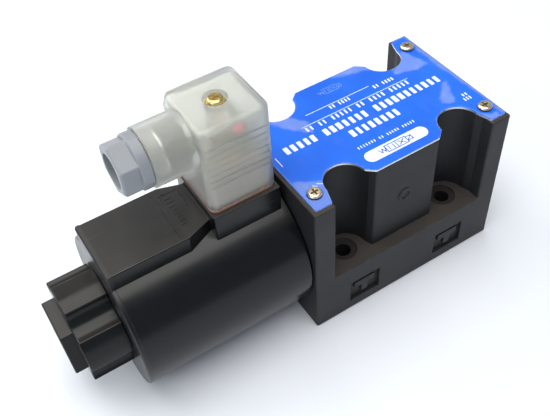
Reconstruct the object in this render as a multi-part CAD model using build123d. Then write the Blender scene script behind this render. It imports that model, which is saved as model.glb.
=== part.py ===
from build123d import *
import math
import os

# Solenoid directional valve, subplate mounted: a cast body with a sliding spool,
# one wet-pin solenoid with a round coil on the -X end, and a square plug connector.
# The origin is the centre of the mounting bolts on the mounting face. +X runs along
# the spool from the solenoid to the plugged end, +Z points up from the subplate.
# All sizes are in millimetres.

# ---- body casting -------------------------------------------------------------------
BODY_LENGTH = 96.0
BODY_WIDTH = 68.0
BODY_HEIGHT = 72.0
LEDGE_HEIGHT = 28.0           # height of the four bolt ledges
BOLT_SPACING_X = 54.0
BOLT_SPACING_Y = 46.0
BOLT_HOLE_RADIUS = 3.3
BOLT_SEAT_RADIUS = 6.0
BOLT_SEAT_DEPTH = 0.8
POCKET_RADIUS = 10.2          # bolt pockets above the ledges
POCKET_OFFSET = 2.2           # pocket centre, outboard of the bolt
BOSS_LENGTH = 31.0            # boss between the two pockets of a side
BOSS_SETBACK = 5.6            # boss face, in from the side of the body
PILLAR_THICKNESS = 9.5        # end walls beside the pockets
CORNER_ROUND = 0.8
EDGE_ROUND = 0.6
PAST = 1.0                    # how far a cutter reaches past the face it opens
TINY = 0.01                   # keeps an edge that lies on a limit inside it

# ---- hydraulic passages ---------------------------------------------------------------
SPOOL_Z = 34.0                # height of the spool axis
SPOOL_BORE_RADIUS = 8.0
SPOOL_CLEARANCE = 0.03
GROOVE_DEPTH = 3.0
CHAMBER_STEP = 3.5            # spring chamber, wider than the spool bore by this much
CHAMBER_DEPTH = 5.0
THREAD_RADIUS = 13.0          # threaded holes for the core tube and the end plug
THREAD_CLEARANCE = 0.05
THREAD_DEPTH = 7.5
THREAD_CHAMFER = 0.8
SEAL_BORE_STEP = 1.3          # counterbore for the O-ring, wider than the thread by this much
SEAL_BORE_DEPTH = 2.5
CENTRE_GROOVE_HALF = 4.0      # half-width of the pressure groove
WORK_GROOVE_X = 12.5
WORK_GROOVE_HALF = 3.0
TANK_GROOVE_X = 24.0
TANK_GROOVE_HALF = 4.0
FEED_RADIUS = 2.8
BRIDGE_Z = 52.0
BRIDGE_RADIUS = 3.5
FEED_SHARE = 0.6              # share of a groove's radius that a feed may lean or be sunk
PORT_RADIUS = 5.5
PORT_DEPTH = 11.0
PORTS = {                     # standard port places on the mounting face
    "P": (0.0, 16.7),
    "A": (10.3, 1.6),
    "B": (-10.3, 1.6),
    "T": (23.8, -9.5),
    "T1": (-23.8, -9.5),
}
PORT_SEAL_RADIUS = 8.0
PORT_SEAL_DEPTH = 1.4
PORT_SEAL_WIDTH = 1.9

# ---- spool and return spring ------------------------------------------------------------
STROKE = 4.0
SPOOL_WAIST_DEPTH = 3.0
LAND_OVERLAP = 1.0            # of an end land past the tank groove it closes
CONTROL_LAND_LENGTH = 6.5
SPOOL_END_GAP = 3.0           # spool end to the pole piece at rest
SEAT_THICKNESS = 2.0
SEAT_CLEARANCE = 0.5
SEAT_HOLE_RADIUS = 1.6
SPRING_RADIUS = 5.5
WIRE_RADIUS = 0.8
SPRING_TURNS = 5
SPRING_POCKET_CLEARANCE = 1.7
SPRING_POCKET_DEPTH = 12.0    # in the end plug, from its inner end
PLUG_HEX = 27.0
PLUG_HEAD_LENGTH = 8.0
PLUG_CROWN_LENGTH = 1.6       # cone that breaks the corners of the hexagon
PLUG_CROWN_DROP = 0.4

# ---- name plate ---------------------------------------------------------------------------
PLATE_THICKNESS = 0.8
PLATE_MARGIN = 1.5            # plate edge, in from the edge of the body
PLATE_NOTCH_RADIUS = 9.0
PLATE_NOTCH_OFFSET_X = 1.0
PLATE_NOTCH_OFFSET_Y = 2.8
PLATE_NOTCH_STEP = 0.5        # between the ends of the notch's round and its flare
PLATE_TIP_LENGTH = 6.5
PLATE_SCREW_INSET_X = 6.0
PLATE_SCREW_INSET_Y = 9.0
SCREW_HEAD_RADIUS = 3.0
SCREW_HEAD_HEIGHT = 1.7
SCREW_SHANK_RADIUS = 1.4
SCREW_SHANK_LENGTH = 7.0
SCREW_HOLE_SPARE = 1.0        # hole depth past the end of a plate screw
CROSS_SLOT_LENGTH = 3.4
CROSS_SLOT_WIDTH = 0.8

# ---- port marks on the side of the body -----------------------------------------------------
MARK_SPACING = 46.0
MARK_WIDTH = 15.6
MARK_LOW = 5.5
MARK_HIGH = 18.0
MARK_DEPTH = 1.5
MARK_BAR = 3.2
LETTER_WIDTH = 10.4
LETTER_LOW_MARGIN = 2.75
LETTER_HIGH_MARGIN = 2.0
LETTER_SETBACK = 0.3          # letter face, in from the side of the body
MARK_ROOT = 0.5               # of a cast mark into the metal behind it
BOSS_RING_Z = 49.7
BOSS_RING_RADIUS = 3.4
BOSS_RING_HOLE = 2.2
BOSS_RING_HEIGHT = 0.5

# ---- core tube and armature --------------------------------------------------------------------
TUBE_RADIUS = 11.5
TUBE_WALL = 2.0
SHOULDER_LIP = 0.4            # shoulder, past the O-ring's counterbore
SHOULDER_LENGTH = 3.0
POLE_LENGTH = 24.0            # pole piece past the shoulder
POLE_STEP = 5.0
RING_LENGTH = 6.0             # non-magnetic ring brazed between pole and tube
TUBE_LENGTH = 88.0            # shoulder face to the tube's outer end
TUBE_PLUG_LENGTH = 10.0
ROD_RADIUS = 2.0
ROD_CLEARANCE = 0.07
ROD_SOCKET = 6.0
SHIM_THICKNESS = 0.3
ARMATURE_LENGTH = 45.6
ARMATURE_CLEARANCE = 0.08
TOUCH_GAP = 0.05              # gap between pieces that push on each other
OIL_HOLE_RADIUS = 1.3
SLIDE_CHAMFER = 0.5           # on the ends of the armature and the override pin
PIN_RADIUS = 2.5
PIN_COLLAR_RADIUS = 4.0
PIN_COLLAR_LENGTH = 1.9
PIN_PROJECTION = 0.4          # past the end of the tube, inside the well of the coil nut
PIN_SEAL_SECTION = 0.7
PIN_SEAL_WIDTH = 1.6
PIN_SEAL_PLAY = 0.15

# ---- coil ------------------------------------------------------------------------------------
COIL_RADIUS = 32.5
COIL_GAP = 0.6                # coil face to the valve body
COIL_LENGTH = 74.4
COIL_BORE_CLEARANCE = 0.08
COIL_SKIN = 2.6               # moulded skin over the yoke
COIL_WALL = 3.4               # moulded wall at the body side
END_PLATE_THICKNESS = 2.0
INNER_PLATE_THICKNESS = 2.0
YOKE_THICKNESS = 2.4
BOBBIN_WALL = 2.0
WINDING_GAP = 2.0             # winding to the yoke
BOX_HALF_WIDTH = 14.8         # box moulded along the top of the coil
BOX_TOP = 70.5
BOX_NOSE_LENGTH = 11.5
BOX_NOSE_HALF_WIDTH = 10.7
PLATFORM_TOP = 74.5           # platform under the connector
PLATFORM_SPARE_X = 0.7        # platform, longer than the connector by this much
PLATFORM_SPARE_Y = 3.4        # platform, wider than the connector by this much
PLATFORM_SETBACK = 3.0        # platform end to the valve body
PLATFORM_ROUND = 0.36
SEAL_SECTION = 1.2
SEAL_DROP = 0.1               # end O-rings, below the end of the body
FACE_SEAL_RADIUS = 20.0
SHELL_CLEARANCE = 0.6         # shell bore around the shoulder of the core tube

# ---- coil nut -----------------------------------------------------------------------------------
KNOB_RADIUS = 21.1
KNOB_LENGTH = 17.1
KNOB_GAP = 0.3
LOBES = 5
FLUTE_RADIUS = 7.0
FLUTE_DISTANCE = 24.2
HEX_RADIUS = 17.0
HEX_LENGTH = 5.1
HEX_TURN = 10.4
NUT_FLOOR = 6.0
PIN_WELL_RADIUS = 4.5
NUT_SEAL_STEP = 3.6           # seal circle, outside the core tube
LOBE_ROUND = 0.6

# ---- plug connector ---------------------------------------------------------------------------------
CONNECTOR_SIZE = 27.8
CONNECTOR_CORNER = 3.0
GASKET_THICKNESS = 1.5
GASKET_SHORTFALL = 0.6
HOUSING_HEIGHT = 38.0
HOUSING_WALL = 1.8
HOUSING_ROOF = 3.6
HOUSING_ROUND = 1.6
CAVITY_CORNER = 2.0
COLUMN_RADIUS = 4.2           # hollow column that the centre screw passes
SCREW_RADIUS = 1.5
SCREW_HOLE_RADIUS = 1.7
CONNECTOR_HEAD_RADIUS = 3.2
CONNECTOR_HEAD_HEIGHT = 2.2
HEAD_RECESS_RADIUS = 4.6
HEAD_RECESS_DEPTH = 2.6
WASHER_THICKNESS = 0.6
WASHER_RIM = 0.7              # washer, past the head of its screw
HEAD_ROUND_SHARE = 0.6        # of a pan head's height
CROSS_DEPTH_SHARE = 0.55      # of a pan head's height
SCREW_REACH = 8.0             # of the centre screw into the platform
INSERT_RADIUS = 3.2
INSERT_DEPTH = 10.0
INSERT_FLOOR = 1.0
RIB_COUNT = 7
RIB_DEPTH = 0.5
RIB_WIDTH = 1.1
RIB_PITCH = 3.0
RIB_LOW = 11.0                # lowest groove, above the base of the hood
LUG_RADIUS = 3.9              # round lugs on the two corners over the sleeve
LUG_DROP = 5.0                # centre of a lug, below the top of the hood
BLADE_SPACING = 18.0
BLADE_WIDTH = 6.3
BLADE_THICKNESS = 0.8
BLADE_HEIGHT = 9.0
BLADE_DEPTH = 10.0            # of a blade below the platform
BLADE_CHAMFER = 0.24
CARRIER_PLAY = 0.6
CARRIER_HEIGHT = 15.0
CARRIER_CORNER = 1.8
SOCKET_WALL = 0.8
SOCKET_HEIGHT = 12.0
SOCKET_LIFT = 0.5             # of a socket above the base of the hood
SOCKET_ROOF = 1.2
SLIP = 0.1                    # clearance of a push fit
CLAMP_SCREW_RADIUS = 1.5
CLAMP_SCREW_LENGTH = 4.0
CLAMP_SLOT_WIDTH = 0.6
CLAMP_SLOT_DEPTH = 0.8
BOARD_THICKNESS = 1.2
BOARD_WIDTH = 15.0
BOARD_HEIGHT = 14.0
BOARD_GAP = 2.0               # board to the screw column
LAMP_RADIUS = 1.5
LAMP_LENGTH = 3.2
LAMP_INSET = 2.5              # lamp axis, in from the side edge of the board
LAMP_DROP = 1.5               # lamp, below the top edge of the board
LAMP_ROUND = 1.2

# ---- cable gland ---------------------------------------------------------------------------------------
GLAND_RADIUS = 11.4
GLAND_DROP = 0.3              # sleeve, below the top of the hood
GLAND_LENGTH = 16.0
GLAND_BORE_RADIUS = 8.6
GLAND_THROAT_RADIUS = 5.0
GLAND_THROAT_LENGTH = 3.2
GLAND_SEAL_LENGTH = 8.5
GLAND_SEAL_HOLE = 4.2
GLAND_WASHER_THICKNESS = 1.0
GLAND_WASHER_LIP = 1.0        # washer, in from the bore of the nut
GLAND_NUT_CLEARANCE = 0.08
NUT_BORE_RADIUS = 6.7
NUT_COLLAR_RADIUS = 10.6
NUT_COLLAR_LENGTH = 4.3
NUT_HEX_RADIUS = 10.4
NUT_HEX_LENGTH = 7.0
NUT_GAP = 0.1
NUT_COLLAR_CHAMFER = 0.5
NUT_HEX_CHAMFER = 0.7
NUT_HEX_ROUND = 0.8

# ---- places worked out from the sizes above -------------------------------------------------------------
HALF_LENGTH = BODY_LENGTH / 2
HALF_WIDTH = BODY_WIDTH / 2
BOSS_FACE = HALF_WIDTH - BOSS_SETBACK
PILLAR_FACE = HALF_LENGTH - PILLAR_THICKNESS
POCKET_X = BOLT_SPACING_X / 2
POCKET_Y = BOLT_SPACING_Y / 2 + POCKET_OFFSET
GROOVE_RADIUS = SPOOL_BORE_RADIUS + GROOVE_DEPTH
CHAMBER_RADIUS = SPOOL_BORE_RADIUS + CHAMBER_STEP
SPOOL_RADIUS = SPOOL_BORE_RADIUS - SPOOL_CLEARANCE
SEAL_BORE_RADIUS = THREAD_RADIUS + SEAL_BORE_STEP
PLATE_SCREW_X = HALF_LENGTH - PLATE_SCREW_INSET_X
PLATE_SCREW_Y = HALF_WIDTH - PLATE_SCREW_INSET_Y
THREAD_END = HALF_LENGTH - SEAL_BORE_DEPTH - THREAD_DEPTH
SPOOL_BORE_START = -THREAD_END
SPOOL_BORE_END = THREAD_END - CHAMBER_DEPTH
SPOOL_START = SPOOL_BORE_START + SPOOL_END_GAP
SPOOL_END = SPOOL_BORE_END - SEAT_THICKNESS
SPRING_POCKET_RADIUS = SPRING_RADIUS + WIRE_RADIUS + SPRING_POCKET_CLEARANCE
SHOULDER_RADIUS = SEAL_BORE_RADIUS + SHOULDER_LIP
SHOULDER_X = -HALF_LENGTH - SHOULDER_LENGTH
POLE_FACE = SHOULDER_X - POLE_LENGTH
TUBE_END = SHOULDER_X - TUBE_LENGTH
TUBE_BORE_RADIUS = TUBE_RADIUS - TUBE_WALL
TUBE_PLUG_FACE = TUBE_END + TUBE_PLUG_LENGTH
ARMATURE_END = POLE_FACE - SHIM_THICKNESS - TOUCH_GAP - STROKE
ARMATURE_START = ARMATURE_END - ARMATURE_LENGTH
ARMATURE_RADIUS = TUBE_BORE_RADIUS - ARMATURE_CLEARANCE
COIL_FACE = -HALF_LENGTH - COIL_GAP
COIL_END = COIL_FACE - COIL_LENGTH
SHELL_END = COIL_END + END_PLATE_THICKNESS
COIL_BORE_RADIUS = TUBE_RADIUS + COIL_BORE_CLEARANCE
YOKE_RADIUS = COIL_RADIUS - COIL_SKIN
WINDING_RADIUS = YOKE_RADIUS - YOKE_THICKNESS - WINDING_GAP
INNER_PLATE_X = COIL_FACE - COIL_WALL
PLATFORM_END = -HALF_LENGTH - PLATFORM_SETBACK
PLATFORM_START = PLATFORM_END - CONNECTOR_SIZE - PLATFORM_SPARE_X
PLATFORM_HALF_WIDTH = (CONNECTOR_SIZE + PLATFORM_SPARE_Y) / 2
CONNECTOR_X = (PLATFORM_START + PLATFORM_END) / 2
NUT_FACE = COIL_END - KNOB_GAP
KNOB_END = NUT_FACE - KNOB_LENGTH
NUT_END = KNOB_END - HEX_LENGTH
HOUSING_BASE = PLATFORM_TOP + GASKET_THICKNESS
HOUSING_TOP = HOUSING_BASE + HOUSING_HEIGHT
CARRIER_SIZE = CONNECTOR_SIZE - 2 * HOUSING_WALL - CARRIER_PLAY
GLAND_Z = HOUSING_TOP - GLAND_RADIUS - GLAND_DROP
GLAND_SEAL_RADIUS = GLAND_BORE_RADIUS - SLIP
SLEEVE_START = CONNECTOR_X - CONNECTOR_SIZE / 2
SLEEVE_END = SLEEVE_START - GLAND_LENGTH
SEAT_X = SLEEVE_START + HOUSING_WALL - GLAND_THROAT_LENGTH
NUT_SEAL_RADIUS = TUBE_RADIUS + NUT_SEAL_STEP
BOARD_X = CONNECTOR_X + COLUMN_RADIUS + BOARD_GAP
QUARTERS = [(1, 1), (1, -1), (-1, 1), (-1, -1)]


# ---- helpers ----------------------------------------------------------------------------------------------
def block(x0, x1, y0, y1, z0, z1):
    """A box between two corners."""
    centre = Pos((x0 + x1) / 2, (y0 + y1) / 2, (z0 + z1) / 2)
    return centre * Box(abs(x1 - x0), abs(y1 - y0), abs(z1 - z0))


def post(x, y, z0, z1, radius):
    """An upright round bar."""
    return Pos(x, y, (z0 + z1) / 2) * Cylinder(radius, abs(z1 - z0))


def bar(x0, x1, radius, y=0.0, z=SPOOL_Z):
    """A round bar along X."""
    return Pos((x0 + x1) / 2, y, z) * Rot(0, 90, 0) * Cylinder(radius, abs(x1 - x0))


def turned(*corners, z=SPOOL_Z):
    """A turned piece about an axis along X, from (x, radius) corners in order."""
    profile = make_face(Polyline(*corners, close=True))
    return Pos(0, 0, z) * revolve(profile, Axis.X)


def tube(x0, x1, outer, inner, z=SPOOL_Z):
    """A plain tube along X."""
    return turned((x0, inner), (x1, inner), (x1, outer), (x0, outer), z=z)


def seal_ring(x, radius, section, z=SPOOL_Z):
    """An O-ring about an axis along X."""
    return Pos(x, 0, z) * Rot(0, 90, 0) * Torus(radius, section)


def drill(start, end, radius):
    """A straight drilling between two points."""
    start = Vector(*start)
    end = Vector(*end)
    run = end - start
    plane = Plane(origin=start, z_dir=run)
    return extrude(plane * Circle(radius), run.length)


def side_prism(sketch, x0, x1, y=0.0, z=SPOOL_Z):
    """A prism along X, from a sketch whose x is the Y direction and y is up."""
    plane = Plane(origin=(x0, y, z), x_dir=(0, 1, 0), z_dir=(1, 0, 0))
    return extrude(plane * sketch, x1 - x0)


def round_corners(prism, beyond_y, radius):
    """Round the upright corner edges that lie further out than a given |y|."""
    corners = [edge for edge in prism.edges().filter_by(Axis.Z) if abs(edge.center().Y) > beyond_y]
    return fillet(corners, radius)


def cross_slot(x, y, z_top, length, width, depth):
    """The cutter for a cross recess in an upright screw."""
    half = length / 2
    side = width / 2
    along = block(x - half, x + half, y - side, y + side, z_top - depth, z_top + PAST)
    across = block(x - side, x + side, y - half, y + half, z_top - depth, z_top + PAST)
    return along + across


def save(name, shape):
    """Write one node: a group of solids when the shape holds more than one."""
    solids = shape.solids()
    shape = solids[0] if len(solids) == 1 else Compound(children=list(solids))
    shape.label = name
    export_step(shape, f"parts/{name}.step")


# ---- valve body -------------------------------------------------------------------------------------------
def pocket_sketch(side_x, side_y):
    """One bolt pocket in plan: a round seat that flares out past the boss and the pillar."""
    seat = Pos(POCKET_X, POCKET_Y) * Circle(POCKET_RADIUS)
    flare = make_face(Polyline(
        (POCKET_X - POCKET_RADIUS, POCKET_Y),
        (POCKET_X + POCKET_RADIUS, POCKET_Y),
        (PILLAR_FACE, BOSS_FACE),
        (PILLAR_FACE, HALF_WIDTH + PAST),
        (0, HALF_WIDTH + PAST),
        (0, BOSS_FACE),
        (BOSS_LENGTH / 2, BOSS_FACE),
        close=True,
    ))
    pocket = seat + flare
    if side_x < 0:
        pocket = mirror(pocket, Plane.YZ)
    if side_y < 0:
        pocket = mirror(pocket, Plane.XZ)
    return pocket


def upper_plan():
    """The body in plan above the ledges: pillars at both ends and a boss between."""
    plan = Rectangle(BODY_LENGTH, BODY_WIDTH)
    for side_x, side_y in QUARTERS:
        plan -= pocket_sketch(side_x, side_y)
    return plan


def end_bores():
    """The spool bore with its grooves, spring chamber, threads and seal seats."""
    cut = bar(SPOOL_BORE_START - PAST, SPOOL_BORE_END + PAST, SPOOL_BORE_RADIUS)
    cut += bar(SPOOL_BORE_END, THREAD_END, CHAMBER_RADIUS)
    for side in (1, -1):
        cut += bar(side * THREAD_END, side * (HALF_LENGTH + PAST), THREAD_RADIUS)
        cut += bar(side * (HALF_LENGTH - SEAL_BORE_DEPTH), side * (HALF_LENGTH + PAST), SEAL_BORE_RADIUS)
        work = side * WORK_GROOVE_X
        tank = side * TANK_GROOVE_X
        cut += bar(work - WORK_GROOVE_HALF, work + WORK_GROOVE_HALF, GROOVE_RADIUS)
        cut += bar(tank - TANK_GROOVE_HALF, tank + TANK_GROOVE_HALF, GROOVE_RADIUS)
    cut += bar(-CENTRE_GROOVE_HALF, CENTRE_GROOVE_HALF, GROOVE_RADIUS)
    return cut


def groove_of(port):
    """The place along the spool of the groove that a port feeds."""
    places = {"P": 0.0, "A": WORK_GROOVE_X, "B": -WORK_GROOVE_X, "T": TANK_GROOVE_X, "T1": -TANK_GROOVE_X}
    return places[port]


def passages():
    """Ports with their seal seats, the feeds up to the grooves, and the tank bridge."""
    reach = GROOVE_RADIUS - FEED_RADIUS * FEED_SHARE
    cut = None
    for port, (x, y) in PORTS.items():
        lean = math.copysign(min(abs(y), reach * FEED_SHARE), y)
        top = SPOOL_Z - math.sqrt(reach ** 2 - lean ** 2)
        hole = post(x, y, -PAST, PORT_DEPTH, PORT_RADIUS)
        hole += post(x, y, -PAST, PORT_SEAL_DEPTH, PORT_SEAL_RADIUS)
        hole += drill((x, y, PORT_DEPTH - FEED_RADIUS), (groove_of(port), lean, top), FEED_RADIUS)
        cut = hole if cut is None else cut + hole
    cut += bar(-TANK_GROOVE_X, TANK_GROOVE_X, BRIDGE_RADIUS, z=BRIDGE_Z)
    for side in (1, -1):
        riser_low = SPOOL_Z + SPOOL_BORE_RADIUS + PAST
        cut += post(side * TANK_GROOVE_X, 0, riser_low, BRIDGE_Z, BRIDGE_RADIUS)
    return cut


def port_marks():
    """Sunk windows with a raised letter T on one side of the body."""
    face = -HALF_WIDTH
    front = face + LETTER_SETBACK
    root = face + MARK_DEPTH + MARK_ROOT
    low = MARK_LOW + LETTER_LOW_MARGIN
    high = MARK_HIGH - LETTER_HIGH_MARGIN
    windows = None
    letters = None
    for side in (1, -1):
        x = side * MARK_SPACING / 2
        window = block(x - MARK_WIDTH / 2, x + MARK_WIDTH / 2, face - PAST, face + MARK_DEPTH, MARK_LOW, MARK_HIGH)
        letter = block(x - MARK_BAR / 2, x + MARK_BAR / 2, front, root, low, high)
        letter += block(x - LETTER_WIDTH / 2, x + LETTER_WIDTH / 2, front, root, high - MARK_BAR, high)
        windows = window if windows is None else windows + window
        letters = letter if letters is None else letters + letter
    return windows, letters


def boss_ring():
    """A small cast ring that stands out of the boss face."""
    plane = Plane(origin=(0, MARK_ROOT - BOSS_FACE, BOSS_RING_Z), z_dir=(0, -1, 0))
    ring = Circle(BOSS_RING_RADIUS) - Circle(BOSS_RING_HOLE)
    return extrude(plane * ring, MARK_ROOT + BOSS_RING_HEIGHT)


def valve_body():
    """The casting with its bolt ledges, passages, screw holes and cast marks."""
    base = round_corners(extrude(Rectangle(BODY_LENGTH, BODY_WIDTH), LEDGE_HEIGHT), 0, CORNER_ROUND)
    base = chamfer(base.faces().sort_by(Axis.Z)[0].edges(), EDGE_ROUND)
    upper = Pos(0, 0, LEDGE_HEIGHT) * extrude(upper_plan(), BODY_HEIGHT - LEDGE_HEIGHT)
    upper = round_corners(upper, BOSS_FACE - TINY, CORNER_ROUND)
    upper = fillet(upper.faces().sort_by(Axis.Z)[-1].edges(), EDGE_ROUND)
    body = base + upper
    windows, letters = port_marks()
    body = body - windows + letters + boss_ring()
    body -= end_bores()
    body -= passages()
    for side_x, side_y in QUARTERS:
        x = side_x * BOLT_SPACING_X / 2
        y = side_y * BOLT_SPACING_Y / 2
        body -= post(x, y, -PAST, LEDGE_HEIGHT + PAST, BOLT_HOLE_RADIUS)
        body -= post(x, y, LEDGE_HEIGHT - BOLT_SEAT_DEPTH, LEDGE_HEIGHT + PAST, BOLT_SEAT_RADIUS)
        floor = BODY_HEIGHT + PLATE_THICKNESS - SCREW_SHANK_LENGTH - SCREW_HOLE_SPARE
        body -= post(side_x * PLATE_SCREW_X, side_y * PLATE_SCREW_Y, floor, BODY_HEIGHT + PAST, SCREW_SHANK_RADIUS)
    return body


def port_o_rings():
    """Five O-rings pressed level with the mounting face."""
    outer = PORT_SEAL_RADIUS - SLIP
    ring = Circle(outer) - Circle(outer - PORT_SEAL_WIDTH)
    rings = [Pos(x, y, 0) * extrude(ring, PORT_SEAL_DEPTH - 0.05) for x, y in PORTS.values()]
    return Compound(children=rings)


# ---- name plate -------------------------------------------------------------------------------------------
def name_plate():
    """The thin plate on top, with a round notch over each bolt pocket."""
    length = BODY_LENGTH - 2 * PLATE_MARGIN
    width = BODY_WIDTH - 2 * PLATE_MARGIN
    notch_x = BOLT_SPACING_X / 2 + PLATE_NOTCH_OFFSET_X
    notch_y = BOLT_SPACING_Y / 2 + PLATE_NOTCH_OFFSET_Y
    tip_x = length / 2 - PLATE_TIP_LENGTH
    plan = Rectangle(length, width)
    for side_x, side_y in QUARTERS:
        seat = Pos(notch_x, notch_y) * Circle(PLATE_NOTCH_RADIUS)
        flare = make_face(Polyline(
            (notch_x - PLATE_NOTCH_RADIUS, notch_y - PLATE_NOTCH_STEP),
            (notch_x + PLATE_NOTCH_RADIUS, notch_y),
            (tip_x, HALF_WIDTH + PAST),
            (0, HALF_WIDTH + PAST),
            (0, BOSS_FACE),
            (BOSS_LENGTH / 2, BOSS_FACE),
            close=True,
        ))
        notch = seat + flare
        if side_x < 0:
            notch = mirror(notch, Plane.YZ)
        if side_y < 0:
            notch = mirror(notch, Plane.XZ)
        plan -= notch
    plate = Pos(0, 0, BODY_HEIGHT) * extrude(plan, PLATE_THICKNESS)
    plate = round_corners(plate, notch_y + TINY, CORNER_ROUND)
    for side_x, side_y in QUARTERS:
        plate -= post(side_x * PLATE_SCREW_X, side_y * PLATE_SCREW_Y, BODY_HEIGHT - PAST,
                      BODY_HEIGHT + PLATE_THICKNESS + PAST, SCREW_SHANK_RADIUS)
    return plate


def pan_screw(x, y, z, head_radius, head_height, shank_radius, shank_length, slot_length, slot_width):
    """An upright pan-head screw with a cross recess; z is the underside of its head."""
    head = post(x, y, z, z + head_height, head_radius)
    head = fillet(head.faces().sort_by(Axis.Z)[-1].edges(), head_height * HEAD_ROUND_SHARE)
    head -= cross_slot(x, y, z + head_height, slot_length, slot_width, head_height * CROSS_DEPTH_SHARE)
    return head + post(x, y, z - shank_length, z, shank_radius)


def name_plate_screws():
    """Four pan-head screws that hold the plate down."""
    screws = []
    for side_x, side_y in QUARTERS:
        screws.append(pan_screw(
            side_x * PLATE_SCREW_X, side_y * PLATE_SCREW_Y, BODY_HEIGHT + PLATE_THICKNESS,
            SCREW_HEAD_RADIUS, SCREW_HEAD_HEIGHT, SCREW_SHANK_RADIUS, SCREW_SHANK_LENGTH,
            CROSS_SLOT_LENGTH, CROSS_SLOT_WIDTH,
        ))
    return Compound(children=screws)


# ---- spool, spring and end plug ------------------------------------------------------------------------------
def spool():
    """The spool: four lands on a waist, with its end just off the pole piece."""
    land_face = TANK_GROOVE_X + TANK_GROOVE_HALF - LAND_OVERLAP
    shape = bar(SPOOL_START, SPOOL_END, SPOOL_RADIUS - SPOOL_WAIST_DEPTH)
    shape += bar(SPOOL_START, -land_face, SPOOL_RADIUS)
    shape += bar(land_face - STROKE, SPOOL_END, SPOOL_RADIUS)
    for centre in (-WORK_GROOVE_X, WORK_GROOVE_X):
        middle = centre - STROKE / 2
        shape += bar(middle - CONTROL_LAND_LENGTH / 2, middle + CONTROL_LAND_LENGTH / 2, SPOOL_RADIUS)
    return shape


def spring_seat():
    """The washer between the spool and its return spring."""
    radius = SPOOL_BORE_RADIUS - SEAT_CLEARANCE
    return tube(SPOOL_END, SPOOL_BORE_END, radius, SEAT_HOLE_RADIUS)


def return_spring():
    """The spring that holds the spool against the solenoid."""
    gap = WIRE_RADIUS + TOUCH_GAP
    height = THREAD_END + SPRING_POCKET_DEPTH - SPOOL_BORE_END - 2 * gap
    path = Helix(pitch=height / SPRING_TURNS, height=height, radius=SPRING_RADIUS)
    section = Plane(origin=path @ 0, z_dir=path % 0) * Circle(WIRE_RADIUS)
    coil = sweep(section, path=path, is_frenet=True)
    return Pos(SPOOL_BORE_END + gap, 0, SPOOL_Z) * Rot(0, 90, 0) * coil


def end_plug():
    """The hexagon plug that closes the spring chamber."""
    thread = THREAD_RADIUS - THREAD_CLEARANCE
    waist = SEAL_BORE_RADIUS - 2 * SEAL_SECTION - SLIP
    neck = HALF_LENGTH - SEAL_BORE_DEPTH
    stem = turned(
        (THREAD_END, 0), (THREAD_END, thread - THREAD_CHAMFER), (THREAD_END + THREAD_CHAMFER, thread), (neck, thread),
        (neck, waist), (HALF_LENGTH, waist), (HALF_LENGTH, 0),
    )
    corner = PLUG_HEX / math.sqrt(3)
    end = HALF_LENGTH + PLUG_HEAD_LENGTH
    head = side_prism(RegularPolygon(corner, 6), HALF_LENGTH, end)
    crown = turned(
        (HALF_LENGTH, 0), (HALF_LENGTH, corner), (end - PLUG_CROWN_LENGTH, corner),
        (end, PLUG_HEX / 2 - PLUG_CROWN_DROP), (end, 0),
    )
    plug = stem + (head & crown)
    return plug - bar(THREAD_END - PAST, THREAD_END + SPRING_POCKET_DEPTH, SPRING_POCKET_RADIUS)


def end_seal(side):
    """The O-ring in the seal counterbore at one end of the body."""
    x = HALF_LENGTH - SEAL_SECTION - SEAL_DROP
    return seal_ring(side * x, SEAL_BORE_RADIUS - SEAL_SECTION, SEAL_SECTION)


# ---- core tube, armature and override pin ------------------------------------------------------------------------
def pole_piece():
    """The threaded nose and fixed pole, bored for the push rod."""
    thread = THREAD_RADIUS - THREAD_CLEARANCE
    waist = SEAL_BORE_RADIUS - 2 * SEAL_SECTION - SLIP
    neck = -HALF_LENGTH + SEAL_BORE_DEPTH
    nose = -THREAD_END
    bore = ROD_RADIUS + ROD_CLEARANCE
    return turned(
        (nose, bore), (nose, thread - THREAD_CHAMFER), (nose - THREAD_CHAMFER, thread), (neck, thread),
        (neck, waist), (-HALF_LENGTH, waist), (-HALF_LENGTH, SHOULDER_RADIUS), (SHOULDER_X, SHOULDER_RADIUS),
        (SHOULDER_X, TUBE_RADIUS), (POLE_FACE + POLE_STEP, TUBE_RADIUS),
        (POLE_FACE + POLE_STEP, TUBE_BORE_RADIUS), (POLE_FACE, TUBE_BORE_RADIUS), (POLE_FACE, bore),
    )


def non_magnetic_ring():
    """The ring brazed between the pole piece and the guide tube."""
    start = POLE_FACE + POLE_STEP
    return tube(start - RING_LENGTH, start, TUBE_RADIUS, TUBE_BORE_RADIUS)


def guide_tube():
    """The tube that the armature slides in."""
    start = POLE_FACE + POLE_STEP - RING_LENGTH
    return tube(TUBE_END, start, TUBE_RADIUS, TUBE_BORE_RADIUS)


def tube_end_plug():
    """The plug in the outer end of the tube, bored for the override pin and its seal."""
    plug = tube(TUBE_END, TUBE_PLUG_FACE, TUBE_BORE_RADIUS, PIN_RADIUS + ROD_CLEARANCE)
    middle = (TUBE_END + TUBE_PLUG_FACE) / 2
    seat = PIN_RADIUS + 2 * PIN_SEAL_SECTION + PIN_SEAL_PLAY
    return plug - bar(middle - PIN_SEAL_WIDTH / 2, middle + PIN_SEAL_WIDTH / 2, seat)


def anti_residual_shim():
    """The thin washer that keeps the armature off the pole."""
    return tube(POLE_FACE - SHIM_THICKNESS, POLE_FACE, TUBE_BORE_RADIUS - SLIP, ROD_RADIUS + 3 * ROD_CLEARANCE)


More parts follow.
